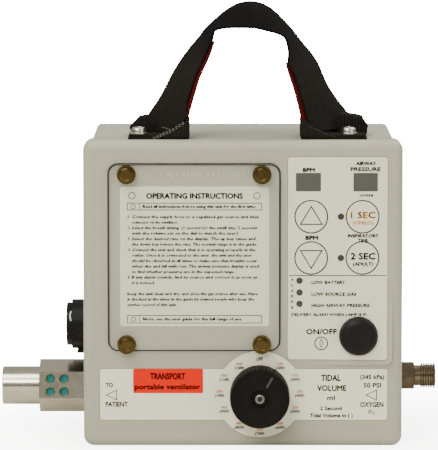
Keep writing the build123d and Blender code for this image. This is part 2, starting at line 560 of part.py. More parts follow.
def strap_screw(x, y):
    z = washer_z + WASHER_T
    head = fillet(rod_z(x, y, 3.9, z, z + HEAD_H).edges().group_by(Axis.Z)[-1], 1.6)
    for w, d in ((1.8, 0.4), (0.4, 1.8)):
        head -= block(x - w, x + w, y - d, y + d, z + HEAD_H - 1.0, z + HEAD_H)
    return head + rod_z(x, y, 2.0, CASE_H - 10.0, z)


parts["strap_screws"] = group(strap_screw(x, y) for x, y in STRAP_SCREWS)
nut_top = CASE_H - RIM_TB
parts["strap_nuts"] = group(
    block(x - 3.5, x + 3.5, y - 3.5, y + 3.5, nut_top - 3.2, nut_top)
    - rod_z(x, y, 2.0, nut_top - 4, nut_top) for x, y in STRAP_SCREWS)

for name, shape in parts.items():
    export_step(shape, f"parts/{name}.step")
print(len(parts), "nodes")
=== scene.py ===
from math import atan2, cos, degrees, pi, radians, sin, sqrt

import bpy
from mathutils import Matrix, Vector


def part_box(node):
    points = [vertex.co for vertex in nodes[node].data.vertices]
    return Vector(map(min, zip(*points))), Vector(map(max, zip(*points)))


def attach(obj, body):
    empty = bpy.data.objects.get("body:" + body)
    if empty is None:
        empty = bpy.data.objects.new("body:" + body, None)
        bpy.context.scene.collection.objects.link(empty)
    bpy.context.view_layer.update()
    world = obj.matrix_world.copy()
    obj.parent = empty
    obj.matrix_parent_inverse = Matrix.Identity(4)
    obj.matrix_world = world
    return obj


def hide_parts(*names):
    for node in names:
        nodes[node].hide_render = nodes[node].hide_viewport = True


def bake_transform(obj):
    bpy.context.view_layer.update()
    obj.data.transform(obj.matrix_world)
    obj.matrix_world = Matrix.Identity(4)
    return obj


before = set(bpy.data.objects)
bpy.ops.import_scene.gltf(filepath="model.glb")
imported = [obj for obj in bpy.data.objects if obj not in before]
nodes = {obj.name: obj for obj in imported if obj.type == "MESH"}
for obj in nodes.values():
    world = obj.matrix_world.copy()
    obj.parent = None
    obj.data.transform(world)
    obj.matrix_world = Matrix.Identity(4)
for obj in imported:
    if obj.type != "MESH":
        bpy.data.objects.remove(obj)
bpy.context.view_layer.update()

MM = 0.001

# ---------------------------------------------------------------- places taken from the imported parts
case_low, case_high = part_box("front_housing")
FACE_Y = case_low.y
CASE_TOP = case_high.z
label_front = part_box("lower_label")[0].y
cover_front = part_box("battery_cover")[0].y
cad_label_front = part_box("instruction_label")[0].y


def middle(node):
    low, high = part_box(node)
    return (low + high) / 2


# ---------------------------------------------------------------- node groups
def add_node(tree, kind, **settings):
    """A node with its properties and unlinked sockets set. Socket names use _ for a space."""
    node = tree.nodes.new(kind)
    for key, value in settings.items():
        if hasattr(node, key) and key not in node.inputs:
            setattr(node, key, value)
        else:
            node.inputs[key.replace("_", " ")].default_value = value
    return node


def join(tree, start, end):
    tree.links.new(start, end)


def new_group(name, inputs, outputs):
    tree = bpy.data.node_groups.new(name, "ShaderNodeTree")
    for kind, label, value in inputs:
        socket = tree.interface.new_socket(name=label, in_out="INPUT", socket_type=kind)
        socket.default_value = value
    for kind, label in outputs:
        tree.interface.new_socket(name=label, in_out="OUTPUT", socket_type=kind)
    return tree, tree.nodes.new("NodeGroupInput"), tree.nodes.new("NodeGroupOutput")


FLOAT, COLOR, VECTOR = "NodeSocketFloat", "NodeSocketColor", "NodeSocketVector"


def noise(tree, vector, scale, detail=3.0, roughness=0.5):
    node = add_node(tree, "ShaderNodeTexNoise", Detail=detail, Roughness=roughness)
    join(tree, vector, node.inputs["Vector"])
    if isinstance(scale, float):
        node.inputs["Scale"].default_value = scale
    else:
        join(tree, scale, node.inputs["Scale"])
    return node.outputs["Fac"]


def maths(tree, operation, a, b=0.0, clamp=False):
    node = tree.nodes.new("ShaderNodeMath")
    node.operation = operation
    node.use_clamp = clamp
    for socket, value in zip(node.inputs, (a, b)):
        if isinstance(value, (int, float)):
            socket.default_value = value
        else:
            join(tree, value, socket)
    return node.outputs[0]


def remap(tree, value, low, high, to_low=0.0, to_high=1.0):
    node = add_node(tree, "ShaderNodeMapRange", From_Min=low, From_Max=high, To_Min=to_low, To_Max=to_high)
    join(tree, value, node.inputs["Value"])
    return node.outputs["Result"]


def split(tree, vector):
    """The separate X, Y and Z of a vector."""
    node = tree.nodes.new("ShaderNodeSeparateXYZ")
    join(tree, vector, node.inputs[0])
    return node


def mix(tree, factor, a, b):
    """Mixes two colours, each a socket or a tuple."""
    node = tree.nodes.new("ShaderNodeMix")
    node.data_type = "RGBA"
    ends = (node.inputs[0], factor), (node.inputs[6], a), (node.inputs[7], b)
    for socket, value in ends:
        if isinstance(value, (float, int)):
            socket.default_value = value
        elif isinstance(value, tuple):
            socket.default_value = (*value, 1.0)
        else:
            join(tree, value, socket)
    return node.outputs[2]


def make_moulded_grain():
    """The fine orange-peel skin of a moulded or painted surface."""
    tree, enter, leave = new_group(
        "moulded_grain",
        [(VECTOR, "Vector", (0, 0, 0)), (FLOAT, "Grain Size", 900.0)],
        [(FLOAT, "Height"), (FLOAT, "Tone")])
    fine = noise(tree, enter.outputs["Vector"], enter.outputs["Grain Size"], 2.0, 0.6)
    cells = tree.nodes.new("ShaderNodeTexVoronoi")
    cells.feature = "SMOOTH_F1"
    join(tree, enter.outputs["Vector"], cells.inputs["Vector"])
    join(tree, enter.outputs["Grain Size"], cells.inputs["Scale"])
    join(tree, maths(tree, "ADD", fine, cells.outputs["Distance"]), leave.inputs["Height"])
    broad = noise(tree, enter.outputs["Vector"], 14.0, 4.0, 0.6)
    join(tree, remap(tree, broad, 0.3, 0.7), leave.inputs["Tone"])
    return tree


def make_handling_marks():
    """Faint smudges, rub marks and dust settled over a surface."""
    tree, enter, leave = new_group(
        "handling_marks",
        [(VECTOR, "Vector", (0, 0, 0)), (COLOR, "Clean", (0.5, 0.5, 0.5, 1)), (COLOR, "Marked", (0.4, 0.4, 0.4, 1)),
         (FLOAT, "Amount", 0.3), (FLOAT, "Roughness", 0.5)],
        [(COLOR, "Color"), (FLOAT, "Roughness")])
    smudge = remap(tree, noise(tree, enter.outputs["Vector"], 38.0, 5.0, 0.65), 0.42, 0.72)
    stretch = add_node(tree, "ShaderNodeMapping", Scale=(1.0, 1.0, 9.0))
    join(tree, enter.outputs["Vector"], stretch.inputs["Vector"])
    rub = remap(tree, noise(tree, stretch.outputs["Vector"], 120.0, 4.0, 0.7), 0.6, 0.8)
    both = maths(tree, "MAXIMUM", smudge, maths(tree, "MULTIPLY", rub, 0.6))
    amount = maths(tree, "MULTIPLY", both, enter.outputs["Amount"], clamp=True)
    join(tree, mix(tree, amount, enter.outputs["Clean"], enter.outputs["Marked"]), leave.inputs["Color"])
    rough = maths(tree, "ADD", enter.outputs["Roughness"], maths(tree, "MULTIPLY", both, 0.12))
    join(tree, rough, leave.inputs["Roughness"])
    return tree


def make_edge_shade():
    """A mask that rises to 1 at the outer edges of a box about a centre."""
    tree, enter, leave = new_group(
        "edge_shade",
        [(VECTOR, "Vector", (0, 0, 0)), (VECTOR, "Centre", (0, 0, 0)), (VECTOR, "Half Size", (0.1, 0.1, 0.1)),
         (FLOAT, "Width", 0.004)],
        [(FLOAT, "Mask")])
    offset = add_node(tree, "ShaderNodeVectorMath", operation="SUBTRACT")
    join(tree, enter.outputs["Vector"], offset.inputs[0])
    join(tree, enter.outputs["Centre"], offset.inputs[1])
    size = add_node(tree, "ShaderNodeVectorMath", operation="ABSOLUTE")
    join(tree, offset.outputs[0], size.inputs[0])
    left = add_node(tree, "ShaderNodeVectorMath", operation="SUBTRACT")
    join(tree, enter.outputs["Half Size"], left.inputs[0])
    join(tree, size.outputs[0], left.inputs[1])
    parts = split(tree, left.outputs[0])
    near = []
    for axis in "XYZ":
        share = maths(tree, "DIVIDE", parts.outputs[axis], enter.outputs["Width"])
        near.append(maths(tree, "SUBTRACT", 1.0, share, clamp=True))
    pairs = [maths(tree, "MULTIPLY", near[a], near[b]) for a, b in ((0, 1), (1, 2), (0, 2))]
    both = maths(tree, "MAXIMUM", pairs[0], maths(tree, "MAXIMUM", pairs[1], pairs[2]))
    ragged = remap(tree, noise(tree, enter.outputs["Vector"], 260.0, 4.0, 0.7), 0.3, 0.62, 0.25, 1.0)
    join(tree, maths(tree, "MULTIPLY", both, ragged, clamp=True), leave.inputs["Mask"])
    return tree


def make_turned_lines():
    """Fine tool lines that run round a turned part. Position is the distance along its axis."""
    tree, enter, leave = new_group(
        "turned_lines",
        [(FLOAT, "Position", 0.0), (FLOAT, "Lines", 2200.0)],
        [(FLOAT, "Height"), (FLOAT, "Tone")])
    step = maths(tree, "MULTIPLY", enter.outputs["Position"], enter.outputs["Lines"])
    place = tree.nodes.new("ShaderNodeCombineXYZ")
    join(tree, step, place.inputs["X"])
    lines = noise(tree, place.outputs[0], 1.0, 5.0, 0.75)
    join(tree, lines, leave.inputs["Height"])
    slow = tree.nodes.new("ShaderNodeCombineXYZ")
    join(tree, maths(tree, "MULTIPLY", step, 0.11), slow.inputs["X"])
    join(tree, remap(tree, noise(tree, slow.outputs[0], 1.0, 2.0), 0.3, 0.7), leave.inputs["Tone"])
    return tree


def make_webbing_weave():
    """Twill webbing on its own UV map: U runs across in metres, V along in metres."""
    tree, enter, leave = new_group(
        "webbing_weave",
        [(VECTOR, "Vector", (0, 0, 0)), (FLOAT, "Rows", 900.0), (FLOAT, "Columns", 620.0)],
        [(FLOAT, "Height"), (FLOAT, "Tone")])
    parts = split(tree, enter.outputs["Vector"])
    across = maths(tree, "MULTIPLY", parts.outputs["X"], enter.outputs["Columns"])
    along = maths(tree, "MULTIPLY", parts.outputs["Y"], enter.outputs["Rows"])
    warp = maths(tree, "ABSOLUTE", maths(tree, "SINE", maths(tree, "MULTIPLY", across, pi)))
    slant = maths(tree, "ADD", along, maths(tree, "MULTIPLY", maths(tree, "FLOOR", across), 0.5))
    weft = maths(tree, "ABSOLUTE", maths(tree, "SINE", maths(tree, "MULTIPLY", slant, pi)))
    height = maths(tree, "MULTIPLY", maths(tree, "POWER", warp, 0.6), maths(tree, "POWER", weft, 0.5))
    join(tree, height, leave.inputs["Height"])
    fuzz = noise(tree, enter.outputs["Vector"], 420.0, 4.0, 0.7)
    join(tree, maths(tree, "MULTIPLY", height, remap(tree, fuzz, 0.3, 0.7, 0.55, 1.0)), leave.inputs["Tone"])
    return tree


def make_metal_haze():
    """Uneven plating, faint oxide and fine scratches on a metal."""
    tree, enter, leave = new_group(
        "metal_haze",
        [(VECTOR, "Vector", (0, 0, 0)), (COLOR, "Bright", (0.8, 0.8, 0.8, 1)), (COLOR, "Dull", (0.5, 0.5, 0.5, 1)),
         (FLOAT, "Amount", 0.4), (FLOAT, "Roughness", 0.3)],
        [(COLOR, "Color"), (FLOAT, "Roughness"), (FLOAT, "Height")])
    cloud = remap(tree, noise(tree, enter.outputs["Vector"], 160.0, 5.0, 0.6), 0.35, 0.7)
    join(tree, mix(tree, maths(tree, "MULTIPLY", cloud, enter.outputs["Amount"], clamp=True),
                   enter.outputs["Bright"], enter.outputs["Dull"]), leave.inputs["Color"])
    fine = noise(tree, enter.outputs["Vector"], 2400.0, 2.0, 0.5)
    rough = maths(tree, "ADD", enter.outputs["Roughness"], maths(tree, "MULTIPLY", cloud, 0.05))
    join(tree, rough, leave.inputs["Roughness"])
    join(tree, fine, leave.inputs["Height"])
    return tree


GRAIN = make_moulded_grain()
MARKS = make_handling_marks()
EDGES = make_edge_shade()
TURNED = make_turned_lines()
WEAVE = make_webbing_weave()
HAZE = make_metal_haze()


# ---------------------------------------------------------------- materials
def start_material(name, **principled):
    material = bpy.data.materials.new(name)
    material.use_nodes = True
    tree = material.node_tree
    shader = tree.nodes["Principled BSDF"]
    for key, value in principled.items():
        shader.inputs[key.replace("_", " ")].default_value = value
    place = tree.nodes.new("ShaderNodeTexCoord")
    return material, tree, shader, place


def use_group(tree, group, vector=None, **values):
    node = tree.nodes.new("ShaderNodeGroup")
    node.node_tree = group
    if vector is not None:
        join(tree, vector, node.inputs["Vector"])
    for key, value in values.items():
        socket = node.inputs[key.replace("_", " ")]
        if isinstance(value, bpy.types.NodeSocket):
            join(tree, value, socket)
        elif isinstance(value, tuple) and socket.type == "RGBA":
            socket.default_value = (*value, 1.0)
        else:
            socket.default_value = value
    return node


def bump(tree, shader, height, depth, strength=1.0):
    node = add_node(tree, "ShaderNodeBump", Strength=strength, Distance=depth)
    join(tree, height, node.inputs["Height"])
    join(tree, node.outputs["Normal"], shader.inputs["Normal"])


def moulded(name, clean, marked, amount=0.3, roughness=0.45, grain=900.0, depth=0.00003, **principled):
    """A moulded, painted or printed finish with fine grain and light handling marks."""
    material, tree, shader, place = start_material(name, **principled)
    where = place.outputs["Object"]
    skin = use_group(tree, GRAIN, where, Grain_Size=grain)
    marks = use_group(tree, MARKS, where, Clean=clean, Marked=marked, Amount=amount, Roughness=roughness)
    shade = mix(tree, maths(tree, "MULTIPLY", skin.outputs["Tone"], 0.16), marks.outputs["Color"], marked)
    join(tree, shade, shader.inputs["Base Color"])
    join(tree, marks.outputs["Roughness"], shader.inputs["Roughness"])
    bump(tree, shader, skin.outputs["Height"], depth)
    return material


def metal(name, bright, dull, amount=0.4, roughness=0.3, axis=None, lines=2600.0, depth=0.000006, metallic=1.0):
    """A metal with uneven tone; axis X, Y or Z adds tool lines round a part turned about it."""
    material, tree, shader, place = start_material(name, Metallic=metallic)
    where = place.outputs["Object"]
    haze = use_group(tree, HAZE, where, Bright=bright, Dull=dull, Amount=amount, Roughness=roughness)
    color, height = haze.outputs["Color"], haze.outputs["Height"]
    if axis:
        parts = split(tree, where)
        turned = use_group(tree, TURNED, Position=parts.outputs[axis], Lines=lines)
        color = mix(tree, maths(tree, "MULTIPLY", turned.outputs["Tone"], 0.35), color, dull)
        height = turned.outputs["Height"]
    join(tree, color, shader.inputs["Base Color"])
    join(tree, haze.outputs["Roughness"], shader.inputs["Roughness"])
    bump(tree, shader, height, depth)
    return material


def make_case_finish():
    """Light warm grey painted shell, slightly rubbed along its outer edges."""
    material, tree, shader, place = start_material("case_paint", Specular_IOR_Level=0.45)
    where = place.outputs["Object"]
    skin = use_group(tree, GRAIN, where, Grain_Size=1100.0)
    marks = use_group(tree, MARKS, where, Clean=(0.440, 0.432, 0.312), Marked=(0.350, 0.338, 0.245),
                      Amount=0.16, Roughness=0.42)
    middle_y = (case_low.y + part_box("rear_housing")[1].y) / 2
    edges = use_group(tree, EDGES, where, Centre=(0.0, middle_y, CASE_TOP / 2),
                      Half_Size=(case_high.x, abs(case_low.y - middle_y), CASE_TOP / 2), Width=0.0045)
    worn = mix(tree, maths(tree, "MULTIPLY", edges.outputs["Mask"], 0.35), marks.outputs["Color"], (0.56, 0.55, 0.46))
    tone = mix(tree, maths(tree, "MULTIPLY", skin.outputs["Tone"], 0.10), worn, (0.37, 0.36, 0.265))
    join(tree, tone, shader.inputs["Base Color"])
    join(tree, marks.outputs["Roughness"], shader.inputs["Roughness"])
    bump(tree, shader, skin.outputs["Height"], 0.000035)
    return material


def make_window_finish():
    """Dark filter over an unlit display, with the digit dots faintly showing."""
    material, tree, shader, place = start_material("display_filter", Coat_Weight=0.5, Coat_Roughness=0.2)
    where = place.outputs["Object"]
    parts = split(tree, where)
    flat = tree.nodes.new("ShaderNodeCombineXYZ")
    join(tree, parts.outputs["X"], flat.inputs["X"])
    join(tree, parts.outputs["Z"], flat.inputs["Y"])
    dots = add_node(tree, "ShaderNodeTexVoronoi", Scale=820.0, Randomness=0.35)
    join(tree, flat.outputs[0], dots.inputs["Vector"])
    spots = remap(tree, dots.outputs["Distance"], 0.1, 0.55)
    cloud = noise(tree, flat.outputs[0], 420.0, 3.0, 0.6)
    shade = mix(tree, maths(tree, "MULTIPLY", spots, 0.55), (0.036, 0.039, 0.026), (0.086, 0.090, 0.066))
    shade = mix(tree, maths(tree, "MULTIPLY", cloud, 0.5), shade, (0.060, 0.063, 0.044))
    join(tree, shade, shader.inputs["Base Color"])
    join(tree, remap(tree, cloud, 0.2, 0.8, 0.35, 0.5), shader.inputs["Roughness"])
    bump(tree, shader, spots, 0.00002)
    return material


def make_webbing_finish(name, light, dark):
    """Woven webbing with a little lint, on its own UV map in metres, with painted shade darkening the top of the
    strap.
    """
    material, tree, shader, place = start_material(name, Roughness=0.7, Sheen_Weight=0.0, Sheen_Roughness=0.4,
                                                   Specular_IOR_Level=0.06)
    weave = use_group(tree, WEAVE, place.outputs["UV"])
    tone = mix(tree, weave.outputs["Tone"], dark, light)
    lint = remap(tree, noise(tree, place.outputs["Object"], 260.0, 5.0, 0.7), 0.6, 0.78)
    tone = mix(tree, maths(tree, "MULTIPLY", lint, 0.25), tone, tuple(c * 1.7 + 0.006 for c in light))
    # painted shade: the webbing is painted darker towards the top of the strap
    parts = split(tree, place.outputs["Object"])
    crown_painted_shade = remap(tree, parts.outputs["Z"], 0.222, 0.246, 0.0, 1.0)
    join(tree, mix(tree, crown_painted_shade, tone, tuple(c * 0.6 for c in dark)), shader.inputs["Base Color"])
    bump(tree, shader, weave.outputs["Height"], 0.00022)
    return material


def make_board_finish():
    """Green solder mask with tracks and small pads showing through it."""
    material, tree, shader, place = start_material("circuit_board", Coat_Weight=0.35, Coat_Roughness=0.25)
    where = place.outputs["Object"]
    tracks = add_node(tree, "ShaderNodeTexBrick", Scale=150.0, Mortar_Size=0.06, Brick_Width=0.7, Row_Height=0.22)
    turn = add_node(tree, "ShaderNodeMapping", Rotation=(radians(90), 0, 0))
    join(tree, where, turn.inputs["Vector"])
    join(tree, turn.outputs["Vector"], tracks.inputs["Vector"])
    pads = add_node(tree, "ShaderNodeTexVoronoi", Scale=210.0, Randomness=0.8)
    join(tree, turn.outputs["Vector"], pads.inputs["Vector"])
    spot = maths(tree, "LESS_THAN", pads.outputs["Distance"], 0.16)
    track = maths(tree, "MULTIPLY", tracks.outputs["Fac"], 0.7)
    green = mix(tree, track, (0.012, 0.095, 0.040), (0.030, 0.190, 0.075))
    join(tree, mix(tree, spot, green, (0.55, 0.50, 0.38)), shader.inputs["Base Color"])
    join(tree, remap(tree, noise(tree, where, 90.0), 0.3, 0.7, 0.32, 0.5), shader.inputs["Roughness"])
    bump(tree, shader, tracks.outputs["Fac"], 0.00003)
    return material


def make_cell_finish():
    """Wrapped dry cells: a dark sleeve with a copper band at one end."""
    material, tree, shader, place = start_material("cell_sleeve", Coat_Weight=0.3)
    parts = split(tree, place.outputs["Object"])
    low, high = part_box("battery_cells")
    band = maths(tree, "GREATER_THAN", parts.outputs["Z"], low.z + (high.z - low.z) * 0.72)
    marks = use_group(tree, MARKS, place.outputs["Object"], Clean=(0.02, 0.022, 0.026), Marked=(0.06, 0.06, 0.06),
                      Amount=0.4, Roughness=0.3)
    join(tree, mix(tree, band, marks.outputs["Color"], (0.48, 0.24, 0.08)), shader.inputs["Base Color"])
    join(tree, maths(tree, "MULTIPLY", band, 0.85), shader.inputs["Metallic"])
    join(tree, marks.outputs["Roughness"], shader.inputs["Roughness"])
    skin = use_group(tree, GRAIN, place.outputs["Object"], Grain_Size=600.0)
    bump(tree, shader, skin.outputs["Height"], 0.00002)
    return material


finish = {
    "case": make_case_finish(),
    "panel": moulded("overlay_film", (0.870, 0.860, 0.620), (0.750, 0.735, 0.510), 0.10, 0.42, 1500.0, 0.00001),
    "label": moulded("label_film", (0.780, 0.800, 0.560), (0.670, 0.680, 0.460), 0.12, 0.38, 1500.0, 0.000008),
    "strip": moulded("strip_film", (0.980, 0.965, 0.700), (0.860, 0.840, 0.590), 0.10, 0.38, 1500.0, 0.000008),
    "sticker": moulded("orange_sticker", (0.900, 0.014, 0.000), (0.780, 0.014, 0.000), 0.15, 0.6, 1500.0, 0.000008,
                       Specular_IOR_Level=0.04),
    "window": make_window_finish(),
    "lamp": moulded("unlit_lamp", (0.030, 0.022, 0.016), (0.010, 0.008, 0.007), 0.4, 0.2, 700.0, 0.00002,
                    Coat_Weight=0.4),
    "black_plastic": moulded("black_plastic", (0.0060, 0.0048, 0.0038), (0.016, 0.0135, 0.011), 0.35, 0.40, 1300.0,
                             0.00003, Specular_IOR_Level=0.16),
    "knob_plastic": moulded("knob_plastic", (0.0070, 0.0056, 0.0044), (0.018, 0.015, 0.012), 0.4, 0.52, 1100.0,
                            0.00003, Specular_IOR_Level=0.07),
    "black_rubber": moulded("black_rubber", (0.0050, 0.0042, 0.0036), (0.016, 0.014, 0.012), 0.3, 0.42, 1500.0,
                            0.00003, Specular_IOR_Level=0.18),
    "seal_rubber": moulded("seal_rubber", (0.018, 0.018, 0.018), (0.060, 0.058, 0.055), 0.3, 0.7, 1200.0, 0.00004),
    "teal_rubber": moulded("teal_rubber", (0.014, 0.250, 0.250), (0.012, 0.150, 0.160), 0.35, 0.22, 1200.0, 0.00003,
                           Coat_Weight=0.5),
    "hose": moulded("delivery_hose_finish", (0.10, 0.13, 0.16), (0.20, 0.22, 0.24), 0.3, 0.5, 700.0, 0.00004),
    "tray": moulded("tray_plastic", (0.055, 0.055, 0.055), (0.11, 0.105, 0.10), 0.35, 0.55, 800.0, 0.00004),
    "electronics": moulded("component_epoxy", (0.016, 0.016, 0.018), (0.055, 0.055, 0.055), 0.35, 0.45, 1600.0,
                           0.00002),
    "board": make_board_finish(),
    "cell": make_cell_finish(),
    "brass": metal("thumb_screw_brass", (0.115, 0.078, 0.025), (0.042, 0.027, 0.008), 0.55, 0.24),
    "aluminium": metal("turned_aluminium", (0.70, 0.65, 0.49), (0.56, 0.51, 0.37), 0.18, 0.17, "X", 1500.0, 0.0000003),
    "machined": metal("machined_valve_body", (0.76, 0.70, 0.53), (0.56, 0.50, 0.36), 0.22, 0.20, "Z", 1300.0,
                      0.0000007),
    "inlet_metal": metal("plated_inlet", (0.235, 0.183, 0.110), (0.086, 0.065, 0.037), 0.6, 0.24, "X", 1800.0,
                         0.000002),
    "steel": metal("screw_steel", (0.66, 0.64, 0.56), (0.36, 0.33, 0.27), 0.4, 0.24, None, 0.0, 0.000002),
    # painted shade: a darker copy of the screw steel, used for the knob's screw
    "painted_shade_steel": metal("knob_screw_painted_shade_steel", (0.26, 0.25, 0.22), (0.12, 0.11, 0.09), 0.4, 0.22, None, 0.0, 0.000002),
    "webbing": make_webbing_finish("black_webbing", (0.0260, 0.0218, 0.0160), (0.0036, 0.0029, 0.0022)),
    "lining": make_webbing_finish("red_webbing", (0.120, 0.008, 0.006), (0.045, 0.003, 0.003)),
    "ink": moulded("black_ink", (0.006, 0.006, 0.005), (0.022, 0.020, 0.017), 0.4, 0.45, 2600.0, 0.000004),
    "orange_ink": moulded("orange_ink", (1.000, 0.400, 0.080), (1.000, 0.520, 0.200), 0.4, 0.45, 2600.0, 0.000004),
    "faint_ink": moulded("faint_orange_ink", (0.900, 0.340, 0.100), (0.900, 0.480, 0.240), 0.4, 0.45, 2600.0,
                         0.000004),
    "white_paint": moulded("white_index_paint", (0.78, 0.77, 0.72), (0.52, 0.50, 0.45), 0.4, 0.5, 1600.0, 0.00001),
    # painted highlight: the knob's pointer is painted lighter than the knob, for the light its edges catch
    "pointer": moulded("knob_pointer_painted_highlight", (0.030, 0.028, 0.026), (0.060, 0.056, 0.050), 0.5, 0.34, 1300.0, 0.00003),
    # painted highlight: the grey thread is a lit copy of the dark thread, for the light the stitches catch
    "thread": moulded("grey_thread_painted_highlight", (0.24, 0.23, 0.20), (0.12, 0.11, 0.10), 0.5, 0.7, 3000.0, 0.00004),
    # painted highlight: the raised cover lettering is painted lighter than the case
    "raised_letter_highlight_paint": moulded("raised_letter_painted_highlight", (0.620, 0.610, 0.480), (0.500, 0.490, 0.370), 0.3, 0.40, 1500.0,
                            0.00001),
    "dark_thread": moulded("dark_thread", (0.035, 0.030, 0.026), (0.018, 0.016, 0.014), 0.5, 0.7, 3000.0, 0.00004),
}

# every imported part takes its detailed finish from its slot
for node in nodes.values():
    for place_in_part in node.material_slots:
        place_in_part.material = finish[place_in_part.material.name.split(".")[0]]
nodes["lower_label"].material_slots[0].material = finish["strip"]
nodes["outlet_valve_body"].material_slots[0].material = finish["machined"]


# ---------------------------------------------------------------- modelling helpers
def clear_selection():
    bpy.ops.object.select_all(action="DESELECT")


def activate(piece):
    """Selects one piece alone and makes it the active one."""
    clear_selection()
    piece.select_set(True)
    bpy.context.view_layer.objects.active = piece


def leave_edit():
    bpy.ops.object.mode_set(mode="OBJECT")


def added(name):
    piece = bpy.context.active_object
    piece.name = name
    return piece


def add_disc(name, centre, radius, depth, sides, axis="Y", turn=0.0):
    """A closed round or many-sided body along an axis, as the start of a turned part."""
    clear_selection()
    lie = {"X": Matrix.Rotation(pi / 2, 3, "Y"), "Y": Matrix.Rotation(pi / 2, 3, "X"), "Z": Matrix.Identity(3)}[axis]
    angle = (Matrix.Rotation(turn, 3, axis) @ lie).to_euler()
    bpy.ops.mesh.primitive_cylinder_add(vertices=sides, radius=radius, depth=depth, location=centre, rotation=angle)
    piece = added(name)
    set_in_place(piece)
    return piece


def set_in_place(piece):
    """Puts a piece's place and turn into its mesh."""
    activate(piece)
    bpy.ops.object.transform_apply(location=True, rotation=True, scale=True)


def pick_faces(piece, wanted):
    """Opens the piece in edit mode with the faces selected whose centre and normal are wanted."""
    if bpy.context.mode != "OBJECT":
        leave_edit()
    activate(piece)
    bpy.context.tool_settings.mesh_select_mode = (False, False, True)
    for group in (piece.data.vertices, piece.data.edges):
        for item in group:
            item.select = False
    for face in piece.data.polygons:
        face.select = wanted(face.center, face.normal)
    bpy.ops.object.mode_set(mode="EDIT")


def close_edit(piece, smooth=35.0, tidy=True):
    if bpy.context.mode != "OBJECT":
        leave_edit()
    if tidy:
        pick_faces(piece, lambda centre, normal: True)
        bpy.ops.mesh.remove_doubles(threshold=0.000001)
        bpy.ops.mesh.normals_make_consistent(inside=False)
        leave_edit()
    activate(piece)
    bpy.ops.object.shade_smooth_by_angle(angle=radians(smooth))


def inset(thickness, depth=0.0, each_face=False):
    bpy.ops.mesh.inset(thickness=thickness, depth=depth, use_individual=each_face)


def push(vector):
    bpy.ops.mesh.extrude_region_move(TRANSFORM_OT_translate={"value": vector})


def grow(factors, centre):
    """Scales what is selected about a point."""
    bpy.ops.transform.resize(value=factors, center_override=centre)


def face_outwards():
    bpy.ops.mesh.select_all(action="SELECT")
    bpy.ops.mesh.normals_make_consistent(inside=False)


def draw_out(vector):
    """Gives a flat outline its thickness."""
    bpy.ops.mesh.select_all(action="SELECT")
    push(vector)
    face_outwards()


def every_facet(at, axis, spacing, every):
    """Picks every second or third side facet of a round grip, by its angle about the grip's axis."""
    along_axis, across = {"X": (0, 1), "Y": (1, 0)}[axis]

    def wanted(centre, normal):
        angle = degrees(atan2(centre.z - at.z, centre[across] - at[across]))
        return abs(normal[along_axis]) < 0.1 and int(round(angle / spacing + 0.5)) % every == 0
    return wanted


def end_facing(direction, tolerance=0.999):
    """Picks the flat end faces that look along a direction."""
    aim = Vector(direction)
    return lambda centre, normal: normal.dot(aim) > tolerance


def apply_modifier(piece, kind, **settings):
    activate(piece)
    modifier = piece.modifiers.new(kind.title(), kind)
    for key, value in settings.items():
        setattr(modifier, key, value)
    bpy.ops.object.modifier_apply(modifier=modifier.name)


def paint(piece, *names):
    piece.data.materials.clear()
    for name in names:
        piece.data.materials.append(finish[name])


def settle(piece, finish_name, body, stands_for=None):
    """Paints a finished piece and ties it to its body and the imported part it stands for."""
    paint(piece, finish_name)
    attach(piece, body)
    if stands_for:
        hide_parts(stands_for)


def copy_of(piece, name, shift):
    """A copy with its own mesh, moved."""
    twin = piece.copy()
    twin.data = piece.data.copy()
    twin.name = name
    bpy.context.scene.collection.objects.link(twin)
    twin.location = shift
    set_in_place(twin)
    return twin


def join_pieces(name, parts):
    clear_selection()
    for part in parts:
        part.select_set(True)
    bpy.context.view_layer.objects.active = parts[0]
    if len(parts) > 1:
        bpy.ops.object.join()
    return added(name)


# ---------------------------------------------------------------- printing
INK_UP = 0.00004
INK_IN = 0.00002
STROKE_REACH = 2.5          # how far the copies move, per millimetre of capital and unit of weight
BIG_CAP = 1.9               # capitals above this many millimetres are thickened upward as well


def measure(piece):
    corners = [v.co for v in piece.data.vertices]
    low = Vector([min(c[i] for c in corners) for i in range(3)])
    high = Vector([max(c[i] for c in corners) for i in range(3)])
    return low, high


def raw_letters(words, curve=2):
    clear_selection()
    bpy.ops.object.text_add(location=(0, 0, 0))
    piece = bpy.context.active_object
    piece.data.body = words
    piece.data.resolution_u = curve
    piece.data.extrude = 0.1
    bpy.ops.object.convert(target="MESH")
    return bpy.context.active_object


capital = raw_letters("H")
capital_low, capital_high = measure(capital)
CAPITAL = capital_high.y - capital_low.y
bpy.data.objects.remove(capital)


def thicken(piece, reach, both_ways):
    """Makes strokes heavier with copies moved sideways, and up and down too for large letters."""
    moves = [(reach, 0), (-reach, 0), (0, reach), (0, -reach)] if both_ways else [(reach, reach), (-reach, -reach)]
    twins = [copy_of(piece, "stroke", (x * MM, 0, z * MM)) for x, z in moves]
    return join_pieces(piece.name, [piece] + twins)


def letters(words, left, base, width, cap, front, align="LEFT", weight=0.0, curve=2, up=INK_UP):
    """Lettering facing forward. left is its left end or middle, base its foot, in millimetres."""
    reach = weight * min(cap, BIG_CAP) * STROKE_REACH
    width = width - 2 * reach
    left = left + reach if align == "LEFT" else left
    piece = raw_letters(words, curve)
    low, high = measure(piece)
    across, tall = width * MM / (high.x - low.x), cap * MM / CAPITAL
    start = left * MM - (width * MM / 2 if align == "CENTER" else 0.0)
    thick = (up + INK_IN) / (high.z - low.z)
    piece.scale = (across, tall, thick)
    piece.rotation_euler = (pi / 2, 0, 0)
    piece.location = (start - low.x * across, front + INK_IN - (high.z - low.z) * thick / 2, base * MM)
    set_in_place(piece)
    return thicken(piece, reach, cap > BIG_CAP) if weight else piece


